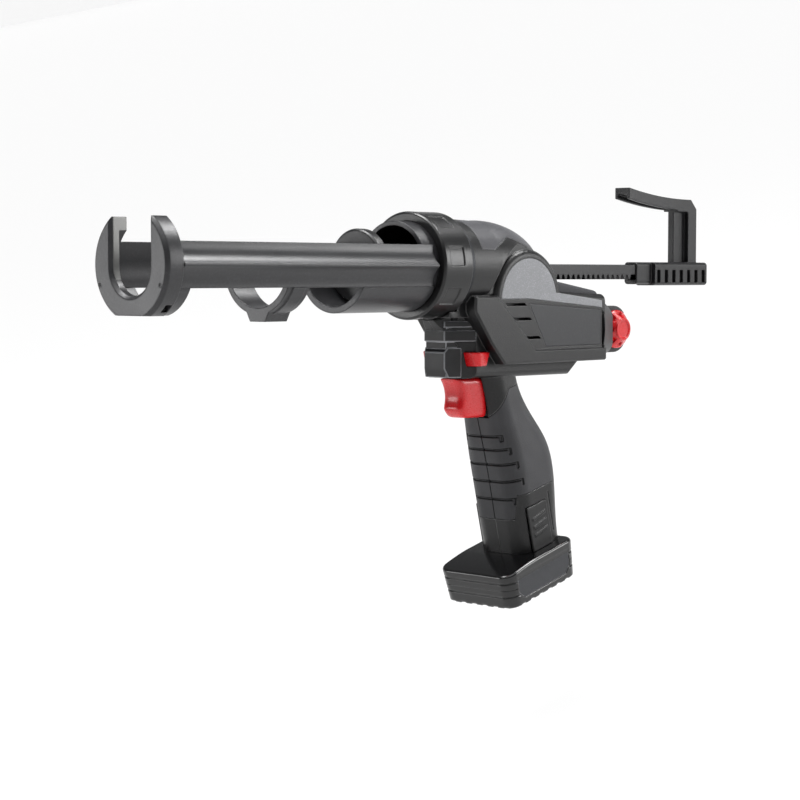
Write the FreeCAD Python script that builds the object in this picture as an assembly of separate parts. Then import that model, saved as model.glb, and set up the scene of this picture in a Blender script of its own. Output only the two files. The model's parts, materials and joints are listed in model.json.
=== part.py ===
import FreeCAD, Part
import math
import os

# Cordless caulking tool, in millimetres.
# Barrel pieces are drawn in the barrel frame: x forward from the collar's front face, y left, z up from the
# cartridge's axis. Grip and battery pieces are drawn standing, with the origin at the middle of the base.

# Cartridge and cradle
CARTRIDGE_R = 25.0
CARTRIDGE_LENGTH = 215.0
CARTRIDGE_PLAY = 0.4
CARTRIDGE_END_GAP = 3.5
CRADLE_WALL = 4.1
SEAT_WALL = 3.1
YOKE_R = 32.5
YOKE_WALL = 6.5
YOKE_CUP_DEPTH = 5.5
YOKE_TIP_HEIGHT = 27.0
YOKE_FLAT_DROP = 28.6
YOKE_BEVEL = 2.0
NOZZLE_SLOT_HALF = 16.6
NOZZLE_SLOT_DROP = 17.6
APRON_LENGTH = 10.0
APRON_WINDOW_LENGTH = 4.4
APRON_WINDOW_TOP = -22.4
APRON_WINDOW_HEIGHT = 4.0
YOKE_DIMPLE_R = 1.0
YOKE_DIMPLE_DEPTH = 0.6
YOKE_DIMPLE_Y = 26.2
YOKE_DIMPLE_Z = -11.4
RAIL_HALF_HEIGHT = 13.2
RAIL_WALL = 1.8
RAIL_RIDGE_HEIGHT = 2.9
RAIL_RIDGE_FLAT = 1.4
RAIL_FLUTE_DEPTH = 0.7
RAIL_FLUTE_SHARE = 0.385
RAIL_REAR_X = 3.8
HALF_RING_FRONT_X = 128.6
HALF_RING_LENGTH = 18.0
HALF_RING_BAND = 10.0
HALF_RING_BAND_HEIGHT = 0.9
HALF_RING_FOOT_DROP = 33.5
HALF_RING_FOOT_TOP_HALF = 11.0
HALF_RING_FOOT_LOW_HALF = 6.6
SADDLE_TAB_HEIGHT = 9.0
TRAY_FRONT_X = 65.3
TRAY_REAR_GAP = 0.8
CRADLE_RING_FRONT_X = 12.0
CRADLE_FLANGE_R = 31.0

# Collar and gear case nose
COLLAR_R = 34.64
COLLAR_LENGTH = 27.4
COLLAR_LIP = 4.0
COLLAR_FIT = 0.08
COLLAR_PAD_HEIGHT = 0.7
COLLAR_PAD_COUNT = 8
COLLAR_PAD_LENGTH = 13.0
COLLAR_PAD_WIDTH = 15.0
COLLAR_PAD_INSET = 5.5
COLLAR_BEVEL = 1.2
NOSE_FRONT_X = -12.5
NOSE_R = 31.0
NOSE_BORE_R = 25.8
NOSE_FLOOR = 5.0
HEAD_GAP = 0.6

# Rack, plunger and pull hook
MODULE = 1.8
PINION_TEETH = 12
PRESSURE_ANGLE = 20.0
PINION_ADDENDUM = 1.8
PINION_DEDENDUM = 1.7
FLANK_SHARES = (0.0, 0.25, 0.5, 0.75, 1.0)
RACK_ADDENDUM = 1.15
RACK_DEDENDUM = 2.2
BACKLASH = 0.3
RACK_TIP_Z = -9.0
RACK_TOP_Z = 1.5
RACK_HALF_WIDTH = 4.5
RACK_TOOTH_LIMIT_X = 26.0
RACK_TOOTH_COUNT = 46
PISTON_FRONT_X = 45.9
PISTON_R = 23.0
PISTON_PLATE = 8.0
PISTON_RIM_BEVEL = 1.2
PISTON_HEAD_SINK = 1.6
PISTON_HUB_R = 9.5
PISTON_HUB_LENGTH = 8.0
PISTON_SCREW_R = 2.5
PISTON_SCREW_HEAD_R = 5.0
PISTON_SCREW_HEAD = 3.0
PISTON_KEY_R = 2.9
PISTON_KEY_DEPTH = 1.6
PISTON_SCREW_LENGTH = 14.0
HOOK_NECK_FRONT_X = -239.7
HOOK_BLOCK_FRONT_X = -257.3
HOOK_BLOCK_LENGTH = 65.9
HOOK_NECK_HALF = 5.7
HOOK_NECK_TOP_Z = 3.4
HOOK_NECK_LOW_Z = -12.6
HOOK_BLOCK_HALF = 9.0
HOOK_BLOCK_LOW_Z = -13.5
HOOK_ARM_SETBACK = 31.6
HOOK_ARM_LENGTH = 23.8
HOOK_ARM_HALF = 6.5
HOOK_INNER_Z = 42.0
HOOK_TOP_Z = 50.0
HOOK_TIP_X = -229.0
HOOK_TIP_LOW_Z = 48.8
HOOK_TIP_TOP_Z = 56.8
HOOK_CORNER = 7.0
HOOK_WEB_HALF = 2.6
HOOK_RIM = 10.6
HOOK_TROUGH_HALF = 4.0
HOOK_TROUGH_DEPTH = 3.6
HOOK_TROUGH_WALL = 3.0
HOOK_SLOT_COUNT = 7
HOOK_SLOT_WIDTH = 4.0
HOOK_SLOT_DEPTH = 2.8
HOOK_SLOT_TOP_Z = -2.2
HOOK_SLOT_LOW_Z = -11.6
HOOK_PIN_R = 2.0
RACK_REAR_MARGIN = 6.0
HOOK_PIN_PLACES = (1, 3)
HOOK_SAG = 1.1

# Gear train
PINION_X = -54.0
PINION_HALF_WIDTH = 4.2
SHAFT_R = 4.0
SHAFT_HALF = 14.6
BEARING_R = 8.0
BEARING_WIDTH = 5.0
BEARING_OUTER_Y = 12.5
SHAFT_FIT = 0.03
CASE_HALF = 12.5
CASE_REAR_X = -79.0
CASE_TOP_Z = 7.0
CASE_LOW_Z = -35.0
CASE_HEAD_FRONT_X = -41.0
CASE_HEAD_LOW_Z = -52.5
GUIDE_LENGTH = 9.0
GUIDE_WALL = 3.0
GUIDE_FIT = 0.08
CHANNEL_PLAY = 1.0
MOTOR_AXIS_Z = -42.0
GEARBOX_FRONT_X = -66.0
GEARBOX_LENGTH = 38.0
GEARBOX_R = 18.0
GEARBOX_FLANGE_R = 19.0
GEARBOX_FLANGE = 4.0
MOTOR_LENGTH = 62.0
MOTOR_R = 18.4
MOTOR_BOSS_R = 7.0
MOTOR_BOSS = 3.0
MOTOR_FLAT = 17.0

# Housing
HEAD_R = 31.0
HEAD_STEP_X = -60.0
HEAD_STEP_R = 29.9
HEAD_MID_X = -97.0
HEAD_MID_R = 24.6
HEAD_REAR_X = -123.5
HEAD_REAR_R = 9.0
MOTOR_HALF = 27.0
SHOULDER_X = -92.0
SHOULDER_Z = -23.5
SHOULDER_R = 35.0
MOTOR_FRONT_X = -70.0
MOTOR_FRONT_TOP_Z = -15.0
MOTOR_REAR_X = -174.0
MOTOR_REAR_TOP_Z = -19.0
MOTOR_LOW_Z = -64.5
MOTOR_EDGE = 5.0
CHEEK_PROUD = 1.2
CHEEK_CHAMFER = 1.1
CHEEK_FRONT_X = -36.5
CHEEK_TOP_Z = -19.5
CHEEK_FRONT_LOW_Z = -29.7
CHEEK_KNEE_X = -53.0
CHEEK_KNEE_Z = -51.0
CHEEK_HEEL_X = -66.0
CHEEK_BACK_X = -59.0
CHEEK_PANEL_X = -97.9
CHEEK_RAIL_TOP_Z = -55.5
NECK_HALF = 19.5
NECK_BROW_X = -21.0
NECK_BROW_Z = -35.0
NECK_SLOPE_X = -36.0
NECK_SLOPE_Z = -51.0
NECK_LOW_Z = -73.0
TAIL_LOW_Z = -73.7
TAIL_REAR_X = -145.0
TAIL_TIP_X = -154.5
TAIL_TIP_Z = -66.4
NECK_EDGE = 4.0
FLANK_HALF = 24.0
FLANK_RIM = 4.0
VENT_HEIGHT = 1.9
VENT_DEPTH = 6.0
VENT_TOP_Z = -24.3
VENT_TOP_X = -67.0
VENT_TOP_LENGTH = 20.0
VENT_MID_Z = -33.9
VENT_MID_X = -75.0
VENT_MID_LENGTH = 17.6
VENT_LOW_Z = -46.4
VENT_LOW_X = -88.6
VENT_LOW_LENGTH = 13.4
VENT_LEAN = 2.2
SLIT_FRONT_X = -170.8
SLIT_TOP_Z = -29.5
SLIT_LOW_Z = -57.5
SLIT_WIDTH = 6.6
SLIT_BOW = 0.6
SLIT_DEPTH = 5.0
BOW_FRONT_HALF = 8.8
BOW_REAR_X = -47.0
BOW_SETBACK = 1.0
PASSAGE_HALF = 9.8
PASSAGE_TOP_Z = 4.4
PASSAGE_LOW_Z = -14.4

# Covers and panels let into the housing
COVER_DEPTH = 1.8
COVER_FRONT_X = -42.0
COVER_TAB_REAR_X = -55.0
COVER_TAB_Z = 10.5
COVER_WAIST_X = -72.0
COVER_WAIST_Z = 19.0
COVER_REAR_X = -112.0
COVER_REAR_Z = 9.0
PANEL_DEPTH = 1.6
PANEL_RIM = 6.2
PANEL_LOW_Z = -21.5
PANEL_STRIP_Z = -17.6
PANEL_STRIP_FALL = 5.6
PANEL_STRIP = 5.0
PANEL_REAR_X = -171.0
NAME_TOP_FRONT_X = -91.5
NAME_TOP_FRONT_Z = -24.6
NAME_TOP_REAR_Z = -29.6
NAME_LOW_FRONT_X = -109.5
NAME_LOW_Z = -53.8
NAME_REAR_X = -169.5

# Bumper, trigger and lock button
BUMPER_FRONT_X = -27.5
BUMPER_STEP = 1.6
BUMPER_TOP_Z = -35.6
BUMPER_FIN = 4.2
BUMPER_RIB = 7.4
BUMPER_GROOVE = 1.8
BUMPER_WAIST = 4.0
BUMPER_LOW_Z = -72.4
BUMPER_CHAMFER = 3.0
BUMPER_CHIN_BEVEL = 6
BUMPER_ROOT = 2.0
TRIGGER_HALF = 9.0
TRIGGER_PLAY = 0.4
TRIGGER_TOP_X = -38.9
TRIGGER_MID_X = -45.4
TRIGGER_MID_Z = -85.0
TRIGGER_LIP_X = -43.4
TRIGGER_LIP_Z = -94.2
TRIGGER_LOW_X = -48.9
TRIGGER_LOW_Z = -100.0
TRIGGER_REAR_X = -70.5
TRIGGER_TRAVEL = 7.0
TRIGGER_EDGE = 3.2
STEM_HALF = 3.5
STEM_LOW_Z = -93.0
STEM_TOP_Z = -82.0
STEM_LENGTH = 4.0
SWITCH_FRONT_X = -82.0
SWITCH_REAR_X = -95.0
SWITCH_HALF = 8.0
SWITCH_TOP_Z = -77.0
SWITCH_LOW_Z = -99.0
LOCK_FRONT_X = -39.8
LOCK_REAR_X = -57.4
LOCK_TOP_Z = -56.0
LOCK_LOW_Z = -65.0
LOCK_TAPER = 4.0
LOCK_OUT_Y = 24.6
LOCK_IN_Y = 21.4
LOCK_RIDGE = 2.6
LOCK_RIDGE_SHARE = 0.333
LOCK_PLAY = 0.2

# Rear end cap and speed dial
CAP_REAR_X = -199.0
CAP_REAR_HALF = 15.0
CAP_REAR_TOP_Z = -27.4
CAP_REAR_LOW_Z = -61.6
CAP_FRONT_INSET = 0.8
CAP_CORNER = 9.0
EAR_REAR_X = -226.0
EAR_R = 16.6
EAR_HALF = 4.5
DIAL_AXIS_X = -214.0
DIAL_AXIS_Z = -44.4
DIAL_R = 13.6
DIAL_RIM = 2.4
DIAL_HEIGHT = 8.6
DIAL_FACE_R = 8.0
DIAL_FACE_LIP = 1.2
DIAL_FACE_DEPTH = 0.9
DIAL_DIMPLES = 8
DIAL_DIMPLE_R = 2.3
DIAL_DIMPLE_REACH = 11.2
DIAL_BEVEL = 0.9
DIAL_GAP = 0.4
DIAL_STEM_R = 3.0
DIAL_STEM_DEPTH = 6.0
POT_R = 8.0
POT_HALF = 3.0
POT_LEAD_HALF = 1.2
BOARD_R = 17.0
BOARD_THICKNESS = 1.6

# Grip, drawn standing
RAKE = 14.3
BASE_X = -107.0
BASE_Z = -218.6
GRIP_TOP_Z = 152.0
GRIP_FRONT = 8.0
GRIP_BACK = 44.2
GRIP_HALF = 22.4
GRIP_HEIGHT_SHARES = (0.14, 0.2961, 0.4605, 0.6184, 0.7566, 0.8618, 1.0)
GRIP_FRONT_SHARES = (0.6875, 0.6875, 0.625, 0.625, 0.725, 0.8125, 1.0)
GRIP_BACK_SHARES = (0.885, 0.9231, 1.0, 0.957, 0.7579, 0.6335, 0.6109)
GRIP_HALF_SHARES = (0.9643, 0.9821, 1.0, 0.9911, 0.9152, 0.8482, 0.8036)
GRIP_CORNER = 14.0
RUBBER_DEPTH = 1.3
RUBBER_FRONT_LOW_Z = 51.0
RUBBER_STEP_X = 3.0
RUBBER_STEP_LEAN = 2.5
RUBBER_BACK_LOW_Z = 67.0
RUBBER_FRONT_TOP_Z = 121.5
RUBBER_SEAM_X = -9.0
RUBBER_TOP_Z = 140.0
GROOVE_WIDTH = 1.3
GROOVE_DEPTH = 0.8
GROOVE_HOOK = 4.5
GROOVE_HEIGHT_SHARES = (0.727, 0.6645, 0.5954, 0.5164, 0.4342)
GROOVE_END_SHARES = (0.45, 0.1, -0.25, -0.45, 0.3)
FOOT_SLIT_X = -27.5
FOOT_SLIT_WIDTH = 1.2
FOOT_SLIT_LOW_Z = 34.0
FOOT_SLIT_TOP_Z = 62.0

# Battery, drawn standing
PACK_CELL_MARGIN = 4.5
PACK_HALF = 32.0
PACK_HEIGHT = 26.5
PACK_SPLIT = 13.0
PACK_DRAFT = 1.5
PACK_CORNER = 9.0
PACK_EDGE = 2.0
PACK_CREST_X = 7.0
PACK_FALL = 3.4
PACK_FALL_SHARE = 0.333
PACK_GROOVE = 1.2
PACK_GROOVE_DEPTH = 0.9
PACK_GROOVE_LOW_Z = 7.6
PACK_GROOVE_TOP_Z = 17.2
NOTCH_WIDTH = 4.6
NOTCH_PITCH = 9.4
NOTCH_HEIGHT = 1.4
NOTCH_DEPTH = 1.8
NOTCH_REACH = 3
PLATE_INSET = 9.5
PLATE_LOW = 4.6
PLATE_TOP = 21.2
PLATE_LEAN = 5.0
PLATE_DEPTH = 0.8
CELL_R = 9.1
CELL_LENGTH = 65.0
CELL_GAP = 0.1
STICK_X = -18.5
STICK_FRONT = 18.2
STICK_BACK = -19.0
STICK_HALF = 19.2
STICK_CORNER = 9.6
STICK_HEADROOM = 5.0
STICK_PLAY = 0.4
CONTACT_LENGTH = 8.0
CONTACT_WIDTH = 1.2
CONTACT_HEIGHT = 4.5
CONTACT_PITCH = 8.0
CONTACT_X = -14.0
TERMINAL_HEIGHT = 7.0
TERMINAL_HALF_LENGTH = 9.0
TERMINAL_HALF_WIDTH = 13.0
LATCH_FRONT_X = -3.0
LATCH_REAR_X = -23.0
LATCH_HEIGHT = 31.0
LATCH_RIB_INSET = 3.0
LATCH_RIB_LEAN = 2.4
LATCH_WALL = 1.7
LATCH_TRAVEL = 2.0
LATCH_PLAY = 0.35
LATCH_FOOT_GAP = 0.1
LATCH_RIB = 2.2
LATCH_RIB_SHARES = (0.3, 0.48, 0.66)
LATCH_RIB_HEIGHT = 0.7

# Housing screws and their places
SCREW_R = 1.5
SCREW_HEAD_R = 2.9
SCREW_HEAD = 2.4
SCREW_KEY_R = 1.6
SCREW_KEY_DEPTH = 1.3
KEY_SIDES = 6
SCREW_SEAT_Y = -12.0
SCREW_END_Y = 10.0
SCREW_HEAD_PLAY = 0.3
SCREW_LOW_Z = -67.6
SCREW_MID_X = -106.0
SCREW_TAIL_X = -140.0
SCREW_NECK_X = -72.0
SCREW_DOME_X = -88.0
SCREW_DOME_Z = 10.4
SCREW_NOSE_X = -46.0
SCREW_NOSE_Z = 17.0
SCREW_PLACES = (
    (SCREW_MID_X, SCREW_LOW_Z), (SCREW_TAIL_X, SCREW_LOW_Z), (SCREW_NECK_X, SCREW_LOW_Z),
    (SCREW_DOME_X, SCREW_DOME_Z), (SCREW_NOSE_X, SCREW_NOSE_Z))

OVERRUN = 1.0
REACH = 400.0

# Derived sizes
bore_r = CARTRIDGE_R + CARTRIDGE_PLAY
cradle_r = bore_r + CRADLE_WALL
seat_r = bore_r + SEAT_WALL
yoke_seat_x = CARTRIDGE_LENGTH + CARTRIDGE_END_GAP
yoke_front_x = yoke_seat_x + YOKE_WALL
yoke_rear_x = yoke_seat_x - YOKE_CUP_DEPTH
apron_rear_x = yoke_rear_x - APRON_LENGTH
rail_r = seat_r + RAIL_WALL
collar_rear_x = -COLLAR_LENGTH
head_front_x = collar_rear_x - HEAD_GAP
nose_floor_x = head_front_x + HEAD_GAP
pitch = math.pi * MODULE
pinion_r = MODULE * PINION_TEETH / 2
rack_pitch_z = RACK_TIP_Z + RACK_ADDENDUM
rack_root_z = rack_pitch_z + RACK_DEDENDUM
pinion_z = rack_pitch_z - pinion_r
case_front_x = nose_floor_x - NOSE_FLOOR
gearbox_rear_x = GEARBOX_FRONT_X - GEARBOX_LENGTH
motor_rear_x = gearbox_rear_x - MOTOR_LENGTH
board_rear_x = motor_rear_x - MOTOR_BOSS - BOARD_THICKNESS
piston_rear_x = PISTON_FRONT_X - PISTON_PLATE
rack_front_x = piston_rear_x
hook_block_rear_x = HOOK_BLOCK_FRONT_X - HOOK_BLOCK_LENGTH
hook_arm_front_x = HOOK_BLOCK_FRONT_X - HOOK_ARM_SETBACK
hook_arm_rear_x = hook_arm_front_x - HOOK_ARM_LENGTH
rack_rear_x = hook_block_rear_x + RACK_REAR_MARGIN
cheek_half = MOTOR_HALF + CHEEK_PROUD
pocket_rear_x = TRIGGER_REAR_X - TRIGGER_TRAVEL - TRIGGER_PLAY
trigger_top_z = NECK_LOW_Z - TRIGGER_PLAY
dial_low_y = EAR_HALF + DIAL_GAP
dial_top_y = dial_low_y + DIAL_HEIGHT
pack_front = CELL_LENGTH / 2 + PACK_CELL_MARGIN
pack_rear = -pack_front
stick_top = PACK_HEIGHT + CELL_LENGTH + STICK_HEADROOM
terminal_low = stick_top + CONTACT_HEIGHT


def at_x(x):
    return lambda u, v: FreeCAD.Vector(x, u, v)


def at_y(y):
    return lambda u, v: FreeCAD.Vector(u, y, v)


def at_z(z):
    return lambda u, v: FreeCAD.Vector(u, v, z)


def closed_wire(place, steps):
    """A closed wire through points; a step of two points is an arc through the first to the second."""
    edges = []
    here = steps[0]
    for step in list(steps[1:]) + [steps[0]]:
        if isinstance(step[0], tuple):
            middle, end = step
            edges.append(Part.Arc(place(*here), place(*middle), place(*end)).toShape())
        else:
            end = step
            if math.dist(here, end) > 0:
                edges.append(Part.LineSegment(place(*here), place(*end)).toShape())
        here = end
    return Part.Wire(edges)


def prism_x(steps, x0, x1):
    return Part.Face(closed_wire(at_x(x0), steps)).extrude(FreeCAD.Vector(x1 - x0, 0, 0))


def prism_y(steps, y0, y1):
    return Part.Face(closed_wire(at_y(y0), steps)).extrude(FreeCAD.Vector(0, y1 - y0, 0))


def prism_z(steps, z0, z1):
    return Part.Face(closed_wire(at_z(z0), steps)).extrude(FreeCAD.Vector(0, 0, z1 - z0))


def rounded(u0, u1, v0, v1, r):
    """Steps of a rectangle with round corners, from its lower left straight edge."""
    k = r * (1 - math.sqrt(0.5))
    return [
        (u0 + r, v0), (u1 - r, v0), ((u1 - k, v0 + k), (u1, v0 + r)), (u1, v1 - r),
        ((u1 - k, v1 - k), (u1 - r, v1)), (u0 + r, v1), ((u0 + k, v1 - k), (u0, v1 - r)), (u0, v0 + r),
        ((u0 + k, v0 + k), (u0 + r, v0)),
    ]


def box(x0, x1, y0, y1, z0, z1):
    low = FreeCAD.Vector(min(x0, x1), min(y0, y1), min(z0, z1))
    return Part.makeBox(abs(x1 - x0), abs(y1 - y0), abs(z1 - z0), low)


def rod_x(x0, x1, r, z=0.0, y=0.0):
    return Part.makeCylinder(r, abs(x1 - x0), FreeCAD.Vector(min(x0, x1), y, z), FreeCAD.Vector(1, 0, 0))


def rod_y(y0, y1, r, x, z):
    return Part.makeCylinder(r, abs(y1 - y0), FreeCAD.Vector(x, min(y0, y1), z), FreeCAD.Vector(0, 1, 0))


def rod_z(z0, z1, r, x, y):
    return Part.makeCylinder(r, abs(z1 - z0), FreeCAD.Vector(x, y, min(z0, z1)), FreeCAD.Vector(0, 0, 1))


def spun(steps):
    """A solid of revolution about the barrel axis from a profile of (x, radius) steps."""
    face = Part.Face(closed_wire(at_y(0), steps))
    return face.revolve(FreeCAD.Vector(0, 0, 0), FreeCAD.Vector(1, 0, 0), 360)


def joined(shapes):
    first = shapes[0]
    return first.multiFuse(list(shapes[1:])).removeSplitter() if len(shapes) > 1 else first


def mirrored(shape):
    return shape.mirror(FreeCAD.Vector(0, 0, 0), FreeCAD.Vector(0, 1, 0))


def both_sides(shape):
    return Part.makeCompound([shape, mirrored(shape)])


def side_edges(shape, half, keep):
    """Edges that lie in the planes y = half and y = -half and pass the test keep(x, z) at their middle."""
    found = []
    for edge in shape.Edges:
        middle = edge.valueAt((edge.FirstParameter + edge.LastParameter) / 2)
        ends = [abs(abs(v.Point.y) - half) < 1e-6 for v in edge.Vertexes]
        if all(ends) and abs(abs(middle.y) - half) < 1e-6 and keep(middle.x, middle.z):
            found.append(edge)
    return found


def standing(shape):
    """Moves a barrel-frame shape to the standing frame, where the battery's base is level at the origin."""
    moved = shape.copy()
    moved.translate(FreeCAD.Vector(-BASE_X, 0, -BASE_Z))
    moved.rotate(FreeCAD.Vector(0, 0, 0), FreeCAD.Vector(0, 1, 0), -RAKE)
    return moved


# Cradle
def lower_band(r_out, r_in, x0, x1, top_z):
    """The part of a tube that lies below top_z."""
    tube = rod_x(x0, x1, r_out).cut(rod_x(x0 - OVERRUN, x1 + OVERRUN, r_in))
    return tube.common(box(x0, x1, -REACH, REACH, -REACH, top_z))


def nozzle_slot(half, drop, x):
    centre = half - drop
    return closed_wire(at_x(x), [
        (half, YOKE_R + half), (half, centre), ((0, -drop), (-half, centre)), (-half, YOKE_R + half)])


def front_yoke():
    disc = spun([
        (yoke_rear_x, 0), (yoke_rear_x, YOKE_R), (yoke_front_x - YOKE_BEVEL, YOKE_R),
        (yoke_front_x, YOKE_R - YOKE_BEVEL), (yoke_front_x, 0)])
    apron = lower_band(cradle_r, bore_r, apron_rear_x, yoke_rear_x, -RAIL_HALF_HEIGHT)
    yoke = disc.fuse(apron)
    yoke = yoke.cut(rod_x(yoke_rear_x - OVERRUN, yoke_seat_x, bore_r))
    slot = Part.Face(nozzle_slot(NOZZLE_SLOT_HALF, NOZZLE_SLOT_DROP, yoke_rear_x - OVERRUN))
    yoke = yoke.cut(slot.extrude(FreeCAD.Vector(yoke_front_x - yoke_rear_x + 2 * OVERRUN, 0, 0)))
    flare = Part.makeLoft([
        nozzle_slot(NOZZLE_SLOT_HALF, NOZZLE_SLOT_DROP, yoke_front_x - YOKE_BEVEL),
        nozzle_slot(NOZZLE_SLOT_HALF + YOKE_BEVEL, NOZZLE_SLOT_DROP + YOKE_BEVEL, yoke_front_x)], True)
    yoke = yoke.cut(flare)
    keep = box(apron_rear_x, yoke_front_x, -YOKE_R, YOKE_R, -YOKE_FLAT_DROP, YOKE_TIP_HEIGHT)
    yoke = yoke.common(keep)
    window = box(yoke_seat_x - APRON_WINDOW_LENGTH, yoke_seat_x, NOZZLE_SLOT_HALF, YOKE_R,
                 APRON_WINDOW_TOP - APRON_WINDOW_HEIGHT, APRON_WINDOW_TOP)
    dimple_x = yoke_front_x - YOKE_DIMPLE_DEPTH
    dimple = rod_x(dimple_x, yoke_front_x, YOKE_DIMPLE_R, YOKE_DIMPLE_Z, YOKE_DIMPLE_Y)
    return yoke.cut(both_sides(window)).cut(both_sides(dimple))


def left_rail():
    inner_y = math.sqrt(seat_r ** 2 - RAIL_HALF_HEIGHT ** 2)
    outer_y = math.sqrt(rail_r ** 2 - RAIL_HALF_HEIGHT ** 2)
    ridge_y = rail_r + RAIL_RIDGE_HEIGHT
    ridge_z = RAIL_RIDGE_FLAT / 2
    flute_z = RAIL_HALF_HEIGHT * RAIL_FLUTE_SHARE
    flute_y = math.sqrt(rail_r ** 2 - flute_z ** 2) - RAIL_FLUTE_DEPTH
    return prism_x([
        (inner_y, RAIL_HALF_HEIGHT), (outer_y, RAIL_HALF_HEIGHT), ((flute_y, flute_z), (ridge_y, ridge_z)),
        (ridge_y, -ridge_z), ((flute_y, -flute_z), (outer_y, -RAIL_HALF_HEIGHT)),
        (inner_y, -RAIL_HALF_HEIGHT),
        ((seat_r, 0), (inner_y, RAIL_HALF_HEIGHT))], RAIL_REAR_X, yoke_rear_x)


def support_ring():
    rear_x = HALF_RING_FRONT_X - HALF_RING_LENGTH
    ring = lower_band(cradle_r, bore_r, rear_x, HALF_RING_FRONT_X, -RAIL_HALF_HEIGHT)
    band_x = rear_x + (HALF_RING_LENGTH - HALF_RING_BAND) / 2
    band_r = cradle_r + HALF_RING_BAND_HEIGHT
    band = lower_band(band_r, bore_r, band_x, band_x + HALF_RING_BAND, -RAIL_HALF_HEIGHT)
    tabs = lower_band(seat_r, bore_r, rear_x, HALF_RING_FRONT_X, SADDLE_TAB_HEIGHT)
    foot_top = CRADLE_WALL - cradle_r
    foot = prism_x([
        (HALF_RING_FOOT_TOP_HALF, foot_top), (HALF_RING_FOOT_LOW_HALF, -HALF_RING_FOOT_DROP),
        (-HALF_RING_FOOT_LOW_HALF, -HALF_RING_FOOT_DROP), (-HALF_RING_FOOT_TOP_HALF, foot_top)],
        rear_x, HALF_RING_FRONT_X)
    foot = foot.cut(rod_x(rear_x, HALF_RING_FRONT_X, bore_r))
    return joined([ring, band, tabs, foot])


def cradle_base():
    tray = lower_band(cradle_r, bore_r, TRAY_REAR_GAP, TRAY_FRONT_X, -RAIL_HALF_HEIGHT)
    flange_front_x = -COLLAR_LIP - COLLAR_FIT
    ring = rod_x(flange_front_x, CRADLE_RING_FRONT_X, seat_r)
    flange = rod_x(NOSE_FRONT_X + COLLAR_FIT, flange_front_x, CRADLE_FLANGE_R)
    core = rod_x(NOSE_FRONT_X, CRADLE_RING_FRONT_X + OVERRUN, bore_r)
    return joined([tray, ring.fuse(flange).cut(core)])


# Collar
def collar_nut():
    pocket_r = CRADLE_FLANGE_R + COLLAR_FIT
    body = spun([
        (0, seat_r + COLLAR_FIT), (0, COLLAR_R - COLLAR_BEVEL), (-COLLAR_BEVEL, COLLAR_R),
        (collar_rear_x + COLLAR_BEVEL, COLLAR_R), (collar_rear_x, COLLAR_R - COLLAR_BEVEL),
        (collar_rear_x, pocket_r), (-COLLAR_LIP, pocket_r), (-COLLAR_LIP, seat_r + COLLAR_FIT)])
    valley_r = COLLAR_R - COLLAR_PAD_HEIGHT
    front_x = -COLLAR_PAD_INSET
    rear_x = front_x - COLLAR_PAD_LENGTH
    gap_angle = 360.0 / COLLAR_PAD_COUNT - math.degrees(COLLAR_PAD_WIDTH / COLLAR_R)
    groove = rod_x(rear_x, front_x, COLLAR_R + OVERRUN).cut(rod_x(rear_x, front_x, valley_r))
    start = FreeCAD.Vector(rear_x, 0, 0)
    along = FreeCAD.Vector(1, 0, 0)
    wedge = Part.makeCylinder(COLLAR_R + OVERRUN, COLLAR_PAD_LENGTH, start, along, gap_angle)
    cutter = groove.common(wedge)
    for index in range(COLLAR_PAD_COUNT):
        turned = cutter.copy()
        turned.rotate(FreeCAD.Vector(0, 0, 0), along, index * 360.0 / COLLAR_PAD_COUNT)
        body = body.cut(turned)
    return body


# Rack and pull hook
def rack_bar():
    flank = math.tan(math.radians(PRESSURE_ANGLE))
    half_tip = pitch / 4 - RACK_ADDENDUM * flank - BACKLASH / 4
    half_root = pitch / 4 + RACK_DEDENDUM * flank - BACKLASH / 4
    phase = (RACK_TOOTH_LIMIT_X - PINION_X) / pitch
    first_x = PINION_X + (math.floor(phase) - 0.5) * pitch
    steps = [(rack_front_x, RACK_TOP_Z), (rack_front_x, rack_root_z)]
    for index in range(RACK_TOOTH_COUNT):
        x = first_x - index * pitch
        steps += [(x + half_root, rack_root_z), (x + half_tip, RACK_TIP_Z)]
        steps += [(x - half_tip, RACK_TIP_Z), (x - half_root, rack_root_z)]
    steps += [(rack_rear_x, rack_root_z), (rack_rear_x, RACK_TOP_Z)]
    bar = prism_y(steps, -RACK_HALF_WIDTH, RACK_HALF_WIDTH)
    hole_z = rack_axis_z()
    screw = rod_x(rack_front_x - PISTON_SCREW_LENGTH, rack_front_x, PISTON_SCREW_R, hole_z)
    bar = bar.cut(screw)
    for x in hook_pin_places():
        bar = bar.cut(rod_y(-RACK_HALF_WIDTH, RACK_HALF_WIDTH, HOOK_PIN_R, x, hole_z))
    return bar


def rack_axis_z():
    return (RACK_TOP_Z + rack_root_z) / 2


def hook_pin_places():
    step = HOOK_BLOCK_LENGTH / HOOK_SLOT_COUNT
    return [HOOK_BLOCK_FRONT_X - step * place for place in HOOK_PIN_PLACES]


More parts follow.
